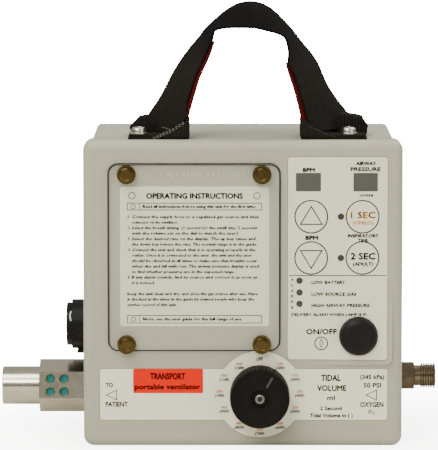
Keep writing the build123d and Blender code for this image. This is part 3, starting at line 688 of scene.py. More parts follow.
def printed_loop(centre, radius, line, front, sides=64, wide=1.0, tall=1.0, turn=0.0, filled=False):
    """A thin printed ring, triangle or frame: a flat shape, inset, its middle removed, then thickened."""
    clear_selection()
    bpy.ops.mesh.primitive_circle_add(vertices=sides, radius=radius * MM, fill_type="NGON",
                                      location=(0, 0, 0), rotation=(0, 0, turn))
    piece = bpy.context.active_object
    set_in_place(piece)
    piece.scale = (wide, tall, 1.0)
    set_in_place(piece)
    pick_faces(piece, lambda c, n: True)
    if not filled:
        inset(line * MM)
        bpy.ops.mesh.delete(type="FACE")
    draw_out((0, 0, INK_UP + INK_IN))
    leave_edit()
    piece.rotation_euler = (pi / 2, 0, 0)
    piece.location = (centre[0] * MM, front + INK_IN, centre[1] * MM)
    set_in_place(piece)
    return piece


def printed_frame(left, right, low, high, line, front):
    """A thin rectangular outline."""
    corner = sqrt(2) / 2
    return printed_loop(((left + right) / 2, (low + high) / 2), 1.0, line, front, 4,
                        (right - left) / 2 / corner, (high - low) / 2 / corner, pi / 4)


def printed_bar(left, right, low, high, front):
    corner = sqrt(2) / 2
    return printed_loop(((left + right) / 2, (low + high) / 2), 1.0, 0.0, front, 4,
                        (right - left) / 2 / corner, (high - low) / 2 / corner, pi / 4, filled=True)


def finish_print(name, parts, ink, body):
    """Joins the parts of one print and settles it."""
    settle(join_pieces(name, parts), ink, body)


# stroke weights
BOLD = 0.050
MEDIUM = 0.040
LIGHT = 0.032
SMALL_CAPS = 0.034
SMALL_TYPE = 0.042
panel_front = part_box("display_windows")[0].y

# control panel captions
panel_words = [
    ("BPM", 38.2, 161.4, 7.1, 2.1, BOLD), ("AIRWAY", 71.4, 165.2, 11.8, 2.0, MEDIUM),
    ("PRESSURE", 71.1, 161.8, 17.5, 2.1, MEDIUM), ("units", 71.7, 147.0, 8.0, 1.7, LIGHT),
    ("BPM", 40.0, 121.7, 7.5, 2.2, BOLD), ("INSPIRATORY", 69.9, 123.1, 18.3, 1.8, MEDIUM),
    ("TIME", 69.8, 120.4, 5.8, 1.75, MEDIUM), ("ON/OFF", 45.8, 66.3, 18.0, 2.95, MEDIUM),
]
alarm_words = [("LOW BATTERY", 39.9, 95.8, 19.8, 1.75), ("LOW SOURCE GAS", 39.9, 88.9, 26.2, 1.8),
               ("HIGH AIRWAY PRESSURE", 39.9, 82.3, 34.0, 1.75),
               ("DELIVERY ALARM WHEN LAMP IS FLASHING", 28.2, 77.0, 54.4, 1.55)]
panel_parts = [letters(word, x, z, w, cap, panel_front, "CENTER", weight)
               for word, x, z, w, cap, weight in panel_words]
panel_parts += [letters(word, x, z, w, cap, panel_front, "LEFT", SMALL_CAPS) for word, x, z, w, cap in alarm_words]
ALARM_TOP = 97.6
ALARM_STEP = 3.27
KEY_OUTLINE = 9.85
for row, letter in enumerate("ALARMS"):
    base = ALARM_TOP - row * ALARM_STEP
    panel_parts.append(letters(letter, 28.75, base, 1.4, 1.55, panel_front, "CENTER", SMALL_CAPS))
for key in ("key_up", "key_down", "key_one", "key_two"):
    at = middle(key)
    panel_parts.append(printed_loop((at.x / MM, at.z / MM), KEY_OUTLINE, 0.72, panel_front))
panel_parts.append(printed_bar(26.8, 83.4, 100.45, 100.95, panel_front))
panel_parts.append(printed_loop((45.7, 60.9), 4.0, 0.62, panel_front, 48))
panel_parts.append(printed_loop((45.7, 60.9), 1.0, 0.42, panel_front, 24, 0.95, 2.6))
finish_print("panel_print", panel_parts, "ink", "case")

# printing on the four keys
for key, turn in (("key_up", 0.0), ("key_down", pi)):
    at, front = middle(key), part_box(key)[0].y
    lift = -0.9 if key == "key_up" else 0.9
    arrow = printed_loop((at.x / MM, at.z / MM + lift), 7.6, 0.66, front, 3, 1.04, 1.0, turn)
    finish_print(f"{key}_print", [arrow], "ink", key)
for key, lines, ink in (("key_one", ("1 SEC", "(CHILD)"), "orange_ink"), ("key_two", ("2 SEC", "(ADULT)"), "ink")):
    at, front = middle(key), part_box(key)[0].y
    parts = [letters(lines[0], at.x / MM + 0.3, at.z / MM - 0.7, 14.6, 3.5, front, "CENTER", BOLD),
             letters(lines[1], at.x / MM + 0.3, at.z / MM - 4.4, 11.8, 1.9, front, "CENTER", SMALL_CAPS)]
    finish_print(f"{key}_print", parts, ink, key)

# instruction label: a heading, two framed lines and numbered steps in small type
INSTRUCTION_LEFT = -67.3
INSTRUCTION_RIGHT = 11.1
LINE_STEP = 3.215
steps = [
    ("1.", "Connect the supply hose to a regulated gas source and inlet", 74.0),
    ("", "connector on the ventilator.", 27.0),
    ("2.", "Select the breath timing. (1 second for the small size, 2 seconds", 73.0),
    ("", "with the volume set on the dial to match the user.)", 62.0),
    ("3.", "Select the desired rate on the display. The up key raises and", 72.0),
    ("", "the down key lowers the rate. The normal range is in the guide.", 73.0),
    ("4.", "Connect the unit and check that it is operating properly at the", 72.0),
    ("", "outlet. Once it is connected to the user, the unit and the user", 70.0),
    ("", "should be observed at all times to make sure that breaths occur", 73.0),
    ("", "when due and fall with rest. The airway pressure display is used", 74.0),
    ("", "to find whether pressures are in the expected range.", 60.0),
    ("5.", "If any alarm sounds, find its source and correct it as soon as", 73.0),
    ("", "it is noticed.", 13.5),
]
closing = [("Keep the unit clean and dry, and close the gas source after use. Have", 76.0),
           ("it checked at the times in the guide by trained people who keep the", 74.0),
           ("service record of this unit.", 29.0)]
SMALL_CAP = 1.62
STEPS_BASE = 134.35
CLOSING_BASE = 89.3


def small_type(words, left, base, width, cap=SMALL_CAP, weight=SMALL_TYPE):
    return letters(words, left, base, width, cap, cad_label_front, "LEFT", weight, 1)


instruction_parts = [
    letters("OPERATING INSTRUCTIONS", -28.1, 145.8, 56.2, 3.0, cad_label_front, "CENTER", 0.048),
    printed_frame(INSTRUCTION_LEFT, INSTRUCTION_RIGHT, 138.9, 143.3, 0.42, cad_label_front),
    printed_bar(-60.2, -59.9, 139.0, 143.2, cad_label_front),
    small_type("Read all instructions before using this unit for the first time.", -58.2, 140.3, 66.0, 1.75),
    printed_frame(INSTRUCTION_LEFT, INSTRUCTION_RIGHT, 72.7, 77.5, 0.42, cad_label_front),
    printed_bar(-60.2, -59.9, 72.8, 77.4, cad_label_front),
    small_type("Note: see the user guide for the full range of use.", -58.2, 74.4, 58.0, 1.75),
]
for spot, radius, line in (((-63.8, 141.1), 1.5, 0.40), ((-63.8, 75.1), 1.5, 0.40), ((-64.4, 147.4), 2.1, 0.46),
                           ((8.1, 147.4), 2.1, 0.46)):
    instruction_parts.append(printed_loop(spot, radius, line, cad_label_front, 32))
for row, (number, words, width) in enumerate(steps):
    base = STEPS_BASE - row * LINE_STEP
    if number:
        instruction_parts.append(small_type(number, -66.9, base, 1.7, weight=0.036))
    instruction_parts.append(small_type(words, -64.6, base, width))
for row, (words, width) in enumerate(closing):
    instruction_parts.append(small_type(words, INSTRUCTION_LEFT, CLOSING_BASE - row * LINE_STEP, width))
finish_print("instruction_print", instruction_parts, "ink", "battery_cover")

# raised lettering moulded into the cover between the top screws, painted lighter than the case as a painted highlight
# on the letters
EMBOSS_UP = 0.00040
raised = letters("D SIZE ALKALINE BATTERIES", -29.2, 158.1, 60.2, 3.0, cover_front, "CENTER", 0.0, 2, EMBOSS_UP)
finish_print("cover_raised_lettering", [raised], "raised_letter_highlight_paint", "battery_cover")

# lower label
lower_words = [
    ("TO", -77.9, 35.0, 4.4, 2.5, LIGHT), ("PATIENT", -73.6, 23.6, 13.1, 2.7, LIGHT),
    ("TIDAL", 51.4, 38.8, 11.7, 3.5, MEDIUM), ("VOLUME", 51.9, 32.9, 17.2, 3.2, MEDIUM),
    ("ml", 51.5, 27.5, 4.6, 2.6, LIGHT),
    ("2 Second", 51.5, 21.6, 12.8, 2.0, LIGHT), ("Tidal Volume in ( )", 51.7, 17.4, 25.2, 2.0, LIGHT),
    ("(345 kPa)", 75.5, 39.9, 14.2, 2.4, LIGHT), ("50 PSI", 75.5, 34.9, 10.2, 2.6, LIGHT),
    ("OXYGEN", 75.3, 23.4, 13.7, 2.8, LIGHT), ("O", 74.3, 19.6, 2.1, 2.2, LIGHT), ("2", 76.4, 18.9, 1.3, 1.5, LIGHT),
]
lower_parts = [letters(word, x, z, w, cap, label_front, "CENTER", weight)
               for word, x, z, w, cap, weight in lower_words]
for tip, back in ((-80.1, -73.4), (71.5, 78.3)):
    radius = (back - tip) / 1.5
    lower_parts.append(printed_loop((tip + radius, 30.4), radius, 0.46, label_front, 3, 1.0, 0.86, pi / 2))

# dial numbers: places from 1 to 11 clockwise of OFF, orange over black
dial_at = middle("selector_nut")
OFF_UP = 21.0
NUMBER_OUT = (23.4, 18.8)
ORANGE_RISE = 1.0
BLACK_DROP = 1.45
LOW_DROP = {5: 2.6, 6: 3.7, 7: 2.6}         # the lowest numbers stand clear of the knob
off_base = dial_at.z / MM + OFF_UP - 1.2
lower_parts.append(letters("OFF", dial_at.x / MM, off_base, 4.0, 1.9, label_front, "CENTER", LIGHT))
orange_parts = []
for place in range(1, 12):
    angle = radians(30 * place)
    x = dial_at.x / MM + NUMBER_OUT[0] * sin(angle) * (1.0 if abs(sin(angle)) > 0.9 else 1.02)
    z = dial_at.z / MM + NUMBER_OUT[1] * cos(angle) + 0.6 - LOW_DROP.get(place, 0.0)
    orange_parts.append(letters(str(50 + 50 * place), x, z - 0.1 + ORANGE_RISE - 0.6, 3.8, 1.55, label_front, "CENTER",
                                LIGHT))
    lower_parts.append(letters(f"({100 + 100 * place})", x, z - BLACK_DROP - 0.6, 5.6, 1.5, label_front, "CENTER",
                               LIGHT))
finish_print("lower_label_print", lower_parts, "ink", "case")
finish_print("dial_orange_numbers", orange_parts, "faint_ink", "case")

sticker_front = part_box("accent_sticker")[0].y
sticker_parts = [letters("TRANSPORT", -43.8, 39.7, 20.5, 3.6, sticker_front, "CENTER", 0.036),
                 letters("portable ventilator", -43.9, 33.9, 38.4, 2.9, sticker_front, "CENTER", 0.036)]
finish_print("sticker_print", sticker_parts, "ink", "case")


# ---------------------------------------------------------------- thumb screws
def make_thumb_screw():
    """The first thumb screw: a knurled collar, a stepped cap and its shank."""
    low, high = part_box("thumb_screw_1")
    at = middle("thumb_screw_1")
    radius, neck, shank = 5.5 * MM, 4.1 * MM, 2.5 * MM
    shoulder = low.y + 2.2 * MM
    depth = FACE_Y - shoulder
    screw = add_disc("thumb_screw_1_knurled", (at.x, FACE_Y - depth / 2, at.z), radius, depth, 72)
    pick_faces(screw, end_facing((0, -1, 0)))
    inset(0.45 * MM)
    pick_faces(screw, every_facet(at, "Y", 5, 2))
    inset(0.07 * MM, -0.26 * MM, each_face=True)
    pick_faces(screw, lambda c, n: n.y < -0.99 and Vector((c.x - at.x, 0, c.z - at.z)).length < 1 * MM)
    inset(radius - 0.45 * MM - neck)
    push((0, -1.7 * MM, 0))
    push((0, -0.35 * MM, 0))
    grow((0.955, 1, 0.955), (at.x, low.y, at.z))
    push((0, -0.15 * MM, 0))
    grow((0.93, 1, 0.93), (at.x, low.y, at.z))
    inset(0.5 * MM)
    inset(0.25 * MM, -0.16 * MM)
    pick_faces(screw, end_facing((0, 1, 0)))
    inset(radius - shank)
    push((0, high.y - FACE_Y, 0))
    close_edit(screw, 32.0)
    return screw


screw_places = [middle(f"thumb_screw_{k}") for k in (1, 2, 3, 4)]
first_screw = make_thumb_screw()
knurled = [first_screw] + [copy_of(first_screw, f"thumb_screw_{k}_knurled", screw_places[k - 1] - screw_places[0])
                           for k in (2, 3, 4)]
for number, screw in enumerate(knurled, 1):
    settle(screw, "brass", f"thumb_screw_{number}", f"thumb_screw_{number}")


# ---------------------------------------------------------------- volume knob
def make_volume_knob():
    """The fluted grip with a dished face, hollow behind; returns its centre and front."""
    low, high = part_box("volume_knob")
    at = middle("volume_knob")
    radius = (high.x - low.x) / 2 - 0.4 * MM
    depth = high.y - low.y
    dish, skirt, bore = 8.9 * MM, 10.4 * MM, 3.3 * MM
    knob = add_disc("volume_knob_grip", at, radius, depth, 144)
    pick_faces(knob, end_facing((0, -1, 0)))
    inset(0.5 * MM)
    leave_edit()
    rim = [v for v in knob.data.vertices
           if abs(v.co.y - low.y) < 0.01 * MM
           and Vector((v.co.x - at.x, 0, v.co.z - at.z)).length > radius - 0.1 * MM]
    for v in rim:
        v.co.y += 1.1 * MM
    pick_faces(knob, every_facet(at, "Y", 2.5, 3))
    inset(0.10 * MM, -0.16 * MM, each_face=True)
    pick_faces(knob, lambda c, n: n.y < -0.99)
    inset(1.1 * MM)
    inset(0.25 * MM, -0.25 * MM)
    inset(radius - dish)
    inset(0.4 * MM, 0.25 * MM)
    inset(1.2 * MM)
    push((0, 1.6 * MM, 0))
    pick_faces(knob, end_facing((0, 1, 0)))
    inset(radius - skirt)
    push((0, 14.5 * MM - depth, 0))
    inset(skirt - bore)
    push((0, -10.5 * MM, 0))
    close_edit(knob, 32.0)
    settle(knob, "knob_plastic", "volume_knob", "volume_knob")
    return at, low.y


knob_at, knob_front = make_volume_knob()
POINTER_TURN = radians(30.0)
POINTER_LENGTH = 6.2 * MM
POINTER_OUT = 10.9 * MM


def make_knob_pointer():
    """A raised pointer on the knob's face, one step clockwise from the top mark."""
    clear_selection()
    bpy.ops.mesh.primitive_cube_add(size=1.0, location=(0, 0, 0), scale=(1.5 * MM, 0.9 * MM, POINTER_LENGTH))
    bar = added("volume_knob_pointer")
    set_in_place(bar)
    pick_faces(bar, end_facing((0, 0, 1)))
    inset(0.01 * MM)
    grow((0.35, 1, 1), (0, 0, 0))
    bpy.ops.transform.translate(value=(0, 0, 0.9 * MM))
    leave_edit()
    apply_modifier(bar, "BEVEL", width=0.28 * MM, segments=3)
    bar.rotation_euler = (0, POINTER_TURN, 0)
    bar.location = (knob_at.x + POINTER_OUT * sin(POINTER_TURN), knob_front + 0.10 * MM,
                    knob_at.z + POINTER_OUT * cos(POINTER_TURN))
    set_in_place(bar)
    close_edit(bar, 40.0)
    # the pointer takes the lighter paint, a painted highlight on its edges
    settle(bar, "pointer", "volume_knob")


make_knob_pointer()


# ---------------------------------------------------------------- strap screws and knob screw
PAN_HEAD_RADIUS = 4.4 * MM
WASHER_RADIUS = 5.25 * MM
SHANK_RADIUS = 2.0 * MM


def make_strap_screws():
    """The two pan-head screws that hold the strap's ends, and the washers under them."""
    low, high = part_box("strap_screws")
    washer_low, washer_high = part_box("strap_washers")
    reach = (washer_high.x - washer_low.x) / 2 - 4.4 * MM
    centre = (washer_low + washer_high) / 2
    heads, washers = [], []
    for side in (-1, 1):
        x = centre.x + side * reach
        foot = washer_high.z
        head = add_disc("strap_screw_heads", (x, centre.y, foot + 0.8 * MM), PAN_HEAD_RADIUS, 1.6 * MM, 56, "Z")
        pick_faces(head, end_facing((0, 0, 1)))
        for rise, narrow in ((0.9, 0.90), (0.5, 0.78), (0.22, 0.62)):
            push((0, 0, rise * MM))
            grow((narrow, narrow, 1), (x, centre.y, foot))
        inset(0.45 * MM)
        push((0, 0, -1.0 * MM))
        grow((0.7, 0.7, 1), (x, centre.y, foot))
        pick_faces(head, end_facing((0, 0, -1)))
        inset(PAN_HEAD_RADIUS - SHANK_RADIUS)
        push((0, 0, low.z - foot))
        close_edit(head, 40.0)
        heads.append(head)
        washer = add_disc("strap_washer_rings", (x, centre.y, (washer_low.z + foot) / 2), WASHER_RADIUS,
                          foot - washer_low.z, 64, "Z")
        pick_faces(washer, end_facing((0, 0, 1)))
        inset(0.25 * MM)
        leave_edit()
        for v in washer.data.vertices:
            away = Vector((v.co.x - x, v.co.y - centre.y, 0)).length
            if away > WASHER_RADIUS - 0.1 * MM:
                v.co.z += 0.15 * MM if v.co.z < foot - 0.3 * MM else -0.15 * MM
        close_edit(washer, 40.0)
        washers.append(washer)
    settle(join_pieces("strap_screw_heads", heads), "steel", "case", "strap_screws")
    settle(join_pieces("strap_washer_rings", washers), "steel", "case", "strap_washers")


make_strap_screws()


def make_knob_screw():
    """The pan-head screw in the middle of the knob, with a cross recess painted black as painted shade."""
    low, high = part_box("knob_screw")
    at = middle("knob_screw")
    radius = (high.x - low.x) / 2
    head = add_disc("knob_screw_head", (at.x, low.y + 0.8 * MM, at.z), radius, 1.6 * MM, 48)
    pick_faces(head, end_facing((0, -1, 0)))
    inset(0.35 * MM)
    push((0, -0.22 * MM, 0))
    grow((0.9, 1, 0.9), (at.x, low.y, at.z))
    inset(0.55 * MM)
    push((0, 0.55 * MM, 0))
    grow((0.86, 1, 0.86), (at.x, low.y, at.z))
    inset(0.4 * MM)
    push((0, 0.5 * MM, 0))
    leave_edit()
    # painted shade: the faces inside the cross recess take black ink, for the shade in it
    paint(head, "painted_shade_steel", "ink")
    for face in head.data.polygons:
        away = Vector((face.center.x - at.x, 0, face.center.z - at.z)).length
        face.material_index = 1 if away < 0.55 * radius and face.center.y > low.y + 0.1 * MM else 0
    pick_faces(head, end_facing((0, 1, 0)))
    inset(radius - 1.5 * MM)
    push((0, high.y - low.y - 1.6 * MM, 0))
    close_edit(head, 32.0)
    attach(head, "volume_knob")
    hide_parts("knob_screw")


make_knob_screw()


# ---------------------------------------------------------------- battery cover gasket lip and painted shadow in its gap
COVER_CORNER = 5.9 * MM


def make_gap_shadow_lip():
    """The dark edge of the seal that shows all round the battery cover, made wide enough to stand for the shadow in
    the cover's gap as well.
    """
    low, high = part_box("battery_cover")
    centre = (low + high) / 2
    half_x, half_z = (high.x - low.x) / 2 + 0.1 * MM, (high.z - low.z) / 2 + 0.1 * MM
    clear_selection()
    bpy.ops.mesh.primitive_circle_add(vertices=96, radius=1.0, fill_type="NGON", location=(0, 0, 0))
    lip = added("cover_gap_shadow_lip")
    for v in lip.data.vertices:
        angle = atan2(v.co.y, v.co.x)
        side_x = 1 if cos(angle) >= 0 else -1
        side_z = 1 if sin(angle) >= 0 else -1
        v.co = (centre.x + side_x * (half_x - COVER_CORNER) + COVER_CORNER * cos(angle), FACE_Y - 0.05 * MM,
                centre.z + side_z * (half_z - COVER_CORNER) + COVER_CORNER * sin(angle))
    pick_faces(lip, lambda c, n: True)
    inset(0.75 * MM)
    bpy.ops.mesh.delete(type="FACE")
    draw_out((0, 0.5 * MM, 0))
    close_edit(lip, 40.0)
    settle(lip, "seal_rubber", "battery_cover")


make_gap_shadow_lip()


# ---------------------------------------------------------------- relief valve knob
def make_relief_knob():
    """The ribbed knob of the relief valve, the raised band round it and its white index mark."""
    low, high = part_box("relief_knob")
    at = middle("relief_spring")
    grip_end, skirt_start = -101.7 * MM, -92.1 * MM
    radius, disc, base, stem = (high.z - low.z) / 2, 12.9 * MM, 8.4 * MM, 4.0 * MM
    depth = skirt_start - grip_end
    grip = add_disc("relief_knob_grip", ((grip_end + skirt_start) / 2, at.y, at.z), radius, depth, 120, "X")
    pick_faces(grip, every_facet(at, "X", 3, 2))
    inset(0.12 * MM, -0.10 * MM, each_face=True)
    pick_faces(grip, lambda c, n: n.x < -0.99 and Vector((0, c.y - at.y, c.z - at.z)).length < 1 * MM)
    inset(radius - disc)
    push((low.x - grip_end + 0.6 * MM, 0, 0))
    push((-0.6 * MM, 0, 0))
    grow((1, 0.955, 0.955), (low.x, at.y, at.z))
    inset(2.4 * MM)
    push((0.9 * MM, 0, 0))
    grow((1, 0.96, 0.96), (low.x, at.y, at.z))
    inset(5.0 * MM)
    push((-0.7 * MM, 0, 0))
    inset(0.4 * MM)
    pick_faces(grip, end_facing((1, 0, 0)))
    inset(radius - base)
    push((-1.2 * MM, 0, 0))
    inset(base - stem)
    push((high.x - skirt_start + 1.2 * MM, 0, 0))
    close_edit(grip, 32.0)
    settle(grip, "black_plastic", "relief_knob", "relief_knob")

    band = add_disc("relief_knob_band", (-93.4 * MM, at.y, at.z), radius + 0.25 * MM, 1.4 * MM, 120, "X")
    pick_faces(band, lambda c, n: abs(n.x) > 0.99)
    inset(1.0 * MM)
    bpy.ops.mesh.delete(type="FACE")
    close_edit(band, 32.0)
    apply_modifier(band, "SOLIDIFY", thickness=0.4 * MM, offset=-1.0)
    settle(band, "black_plastic", "relief_knob")

    clear_selection()
    bpy.ops.mesh.primitive_grid_add(x_subdivisions=4, y_subdivisions=14, size=1.0, location=(0, 0, 0))
    mark = added("relief_knob_index")
    set_in_place(mark)
    mark_x, mark_start, mark_length = -102.0 * MM, 0.26, 6.3 * MM
    for v in mark.data.vertices:
        angle = mark_start + (v.co.y + 0.5) * mark_length / disc
        bulge = 0.9 * MM * sin((v.co.y + 0.5) * pi)
        r = disc + 0.05 * MM
        v.co = Vector((mark_x + v.co.x * 0.8 * MM - bulge * 0.7, at.y - r * cos(angle), at.z + r * sin(angle)))
    apply_modifier(mark, "SOLIDIFY", thickness=0.12 * MM, offset=0.0)
    close_edit(mark, 40.0)
    settle(mark, "white_paint", "relief_knob")


make_relief_knob()


# ---------------------------------------------------------------- oxygen inlet
def set_loop(piece, at, radius):
    """Gives the selected end face a radius about an axis along X."""
    leave_edit()
    for v in piece.data.vertices:
        if v.select:
            away = Vector((0, v.co.y - at.y, v.co.z - at.z))
            v.co = Vector((v.co.x, at.y, at.z)) + away * (radius / away.length)
    bpy.ops.object.mode_set(mode="EDIT")


def make_oxygen_inlet():
    """The hexagon of the oxygen inlet, and its neck and male thread."""
    low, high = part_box("oxygen_inlet")
    at = Vector((0, (low.y + high.y) / 2, (low.z + high.z) / 2))
    hex_start, hex_end, thread_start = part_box("rear_housing")[1].x, 102.8 * MM, 106.4 * MM
    corner, neck, root, crest = 15.1 * MM / sqrt(3), 6.15 * MM, 6.25 * MM, 7.38 * MM
    mouth, bore = 4.0 * MM, 2.2 * MM
    hex_middle = (hex_start + hex_end) / 2
    body = add_disc("oxygen_inlet_hexagon", (hex_middle, at.y, at.z), corner, hex_end - hex_start, 6, "X")
    pick_faces(body, lambda c, n: abs(n.x) > 0.99)
    inset(0.55 * MM, 0.0)
    leave_edit()
    for v in body.data.vertices:
        away = Vector((0, v.co.y - at.y, v.co.z - at.z)).length
        if away > corner - 0.1 * MM:
            v.co.x += 0.32 * MM if v.co.x < hex_start + 0.1 * MM else -0.32 * MM
    pick_faces(body, lambda c, n: n.x < -0.99)
    inset(corner * 0.22)
    push((low.x - hex_start, 0, 0))
    close_edit(body, 30.0)
    settle(body, "inlet_metal", "case", "oxygen_inlet")

    thread = add_disc("oxygen_inlet_thread", (hex_end + 0.2 * MM, at.y, at.z), neck, 0.4 * MM, 96, "X")
    pick_faces(thread, lambda c, n: n.x > 0.99)
    push((thread_start - hex_end - 0.4 * MM, 0, 0))
    crests = 6
    pitch = (high.x - thread_start) / (crests * 0.88 + 0.12)
    for turn in range(crests):
        for share, radius in ((0.10, root), (0.16, crest), (0.46, crest), (0.16, root)):
            push((share * pitch, 0, 0))
            set_loop(thread, at, radius)
    push((0.12 * pitch, 0, 0))
    inset(root - mouth)
    push((-7.0 * MM, 0, 0))
    inset(mouth - bore)
    push((-20.0 * MM, 0, 0))
    close_edit(thread, 30.0)
    settle(thread, "inlet_metal", "case")


make_oxygen_inlet()


# ---------------------------------------------------------------- carry strap
STRAP_FRONT, STRAP_BACK = -50.0, -16.0
# stations from the left foot over the top to the right foot: front edge x, z and back edge x, z
stations = [
    (-36.5, 182.5, -61.5, 182.0), (-33.1, 191.9, -56.5, 189.6), (-30.7, 202.4, -48.7, 200.9),
    (-26.7, 214.0, -39.9, 217.4), (-22.0, 225.7, -31.0, 230.4), (-18.2, 236.3, -25.0, 237.6),
    (-16.2, 242.8, -20.6, 242.6), (-9.6, 244.4, -13.4, 249.5), (-1.4, 244.5, -5.0, 255.3),
    (6.6, 244.2, 3.2, 257.5), (14.2, 242.6, 11.3, 256.3), (20.6, 240.8, 19.0, 251.5),
    (24.7, 238.2, 26.0, 244.1), (26.5, 231.5, 33.6, 234.9), (26.3, 223.0, 42.6, 224.0),
    (31.4, 208.2, 50.4, 207.6), (34.9, 191.9, 60.4, 193.5), (38.0, 183.0, 69.0, 184.0)]


def along(values, place):
    """A smooth value through the stations at a place from 0 to 1."""
    step = place * (len(values) - 1)
    first = min(int(step), len(values) - 2)
    t = step - first
    p0, p1, p2, p3 = (values[min(max(first + k, 0), len(values) - 1)] for k in (-1, 0, 1, 2))
    return 0.5 * (2 * p1 + (p2 - p0) * t + (2 * p0 - 5 * p1 + 4 * p2 - p3) * t * t
                  + (3 * p1 - p0 - 3 * p2 + p3) * t ** 3)


def strap_point(place, across):
    """A point of the strap's middle surface: place along it from 0 to 1, across it from its front edge to its back."""
    fx, fz, bx, bz = (along([row[k] for row in stations], place) for k in range(4))
    crown = max(0.0, 1.0 - abs(place - 0.53) / 0.22)
    bow = sin(pi * across) * (0.5 + 1.3 * crown)
    ripple = 0.35 * sin(place * 41.0) * sin(across * 5.0 + place * 9.0)
    x = fx + (bx - fx) * across
    z = fz + (bz - fz) * across
    y = STRAP_FRONT + (STRAP_BACK - STRAP_FRONT) * across - 2.2 * crown * sin(pi * across)
    side = -1.0 if place < 0.5 else 1.0
    lean = 1.0 - crown
    return Vector((x + side * lean * (bow + ripple), y - 0.4 * ripple, z + crown * bow)) * MM


def strap_normal(place, across):
    step = 0.004
    down = strap_point(min(place + step, 1.0), across) - strap_point(max(place - step, 0.0), across)
    over = strap_point(place, min(across + step, 1.0)) - strap_point(place, max(across - step, 0.0))
    return down.cross(over).normalized()


# what the weave's UV map runs to in metres, across and along; it sets how fine the weave is, not the strap's size
WEAVE_ACROSS = 0.038
WEAVE_ALONG = 0.27


def make_webbing(name, start, end, near, far, offset, thickness, rows, columns, material):
    """A length of webbing on the strap's surface; near gives the front edge's place across at each place along."""
    clear_selection()
    bpy.ops.mesh.primitive_grid_add(x_subdivisions=rows, y_subdivisions=columns, size=1.0, location=(0, 0, 0))
    piece = added(name)
    set_in_place(piece)
    mesh = piece.data
    spots = [(v.co.x + 0.5, v.co.y + 0.5) for v in mesh.vertices]
    marks = mesh.uv_layers.active.data
    for loop in mesh.loops:
        s, t = spots[loop.vertex_index]
        place = start + (end - start) * s
        marks[loop.index].uv = ((near(place) + (far - near(place)) * t) * WEAVE_ACROSS, place * WEAVE_ALONG)
    for v, (s, t) in zip(mesh.vertices, spots):
        place = start + (end - start) * s
        across = near(place) + (far - near(place)) * t
        v.co = strap_point(place, across) + strap_normal(place, across) * offset
    apply_modifier(piece, "SOLIDIFY", thickness=thickness, offset=0.0)
    apply_modifier(piece, "BEVEL", width=thickness * 0.3, segments=2, limit_method="ANGLE")
    close_edit(piece, 50.0, tidy=False)
    paint(piece, material)
    return piece


LINING_SHOWS = 0.080


def outer_edge(place):
    """The black webbing leaves a strip of the lining showing along the front edge of both legs."""
    left = min(1.0, max(0.0, (0.292 - place) / 0.02)) * min(1.0, max(0.0, (place - 0.065) / 0.04))
    right = min(1.0, max(0.0, (place - 0.822) / 0.02))
    return LINING_SHOWS * (left + right)


webbing = make_webbing("strap_webbing", 0.0, 1.0, outer_edge, 1.0, 0.0, 1.5 * MM, 150, 16, "webbing")
linings = [make_webbing(name, start, end, lambda place: 0.0, 0.965, -1.4 * MM, 1.1 * MM, rows, 14, "lining")
           for name, start, end, rows in (("strap_lining_left", 0.060, 0.298, 50),
                                          ("strap_lining_right", 0.816, 0.968, 40))]
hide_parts("carry_strap")
for piece in (webbing, *linings):
    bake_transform(piece)


# ---------------------------------------------------------------- strap ends
END_FRONT, END_BACK = -51.8, -14.0


def lay_weave(piece):
    """Lays the weave on a piece in metres, from the side each face looks to."""
    mesh = piece.data
    if not mesh.uv_layers:
        mesh.uv_layers.new(name="weave")
    marks = mesh.uv_layers.active.data
    for face in mesh.polygons:
        n = face.normal
        for index in face.loop_indices:
            v = mesh.vertices[mesh.loops[index].vertex_index].co
            if abs(n.y) > max(abs(n.x), abs(n.z)):
                marks[index].uv = (v.x, v.z)
            else:
                marks[index].uv = (v.y, v.x + v.z)


def make_fold(name, outline, front, back, soften=0.45, cuts=5):
    """A folded or stacked piece of webbing: its outline seen from the front, drawn back, softened and rumpled."""
    clear_selection()
    bpy.ops.mesh.primitive_circle_add(vertices=len(outline), radius=1.0, fill_type="NGON", location=(0, 0, 0))
    piece = added(name)
    for v, (x, z) in zip(piece.data.vertices, outline):
        v.co = (x * MM, front * MM, z * MM)
    pick_faces(piece, lambda c, n: True)
    for step in range(cuts):
        push((0, (back - front) * MM / cuts, 0))
    face_outwards()
    leave_edit()
    apply_modifier(piece, "BEVEL", width=soften * MM, segments=3, limit_method="ANGLE")
    for v in piece.data.vertices:
        wave = sin(v.co.y * 420.0) * 0.25 * MM * min(1.0, max(0.0, (v.co.z - CASE_TOP) / (6.0 * MM)))
        v.co.x += wave
        v.co.z += 0.3 * wave
    close_edit(piece, 40.0)
    lay_weave(piece)
    return piece


def make_stitches(name, start, end, length, gap, thick):
    """A row of thread stitches between two points, each a small rounded bar sunk half into the cloth."""
    start, end = Vector(start) * MM, Vector(end) * MM
    way = end - start
    count = max(1, int(way.length / ((length + gap) * MM)))
    turn = way.to_track_quat("X", "Z").to_euler()
    parts = []
    for step in range(count):
        centre = start + way * ((step + 0.5) / count)
        clear_selection()
        bpy.ops.mesh.primitive_cylinder_add(vertices=8, radius=thick * MM / 2, depth=length * MM,
                                            location=(0, 0, 0), rotation=(0, pi / 2, 0))
        bar = bpy.context.active_object
        set_in_place(bar)
        pick_faces(bar, lambda c, n: abs(n.x) > 0.9)
        inset(thick * MM * 0.18, thick * MM * 0.16, each_face=True)
        leave_edit()
        bar.rotation_euler = turn
        bar.location = centre
        set_in_place(bar)
        parts.append(bar)
    piece = join_pieces(name, parts)
    close_edit(piece, 50.0)
    return piece


RIB_RADIUS = 0.62 * MM


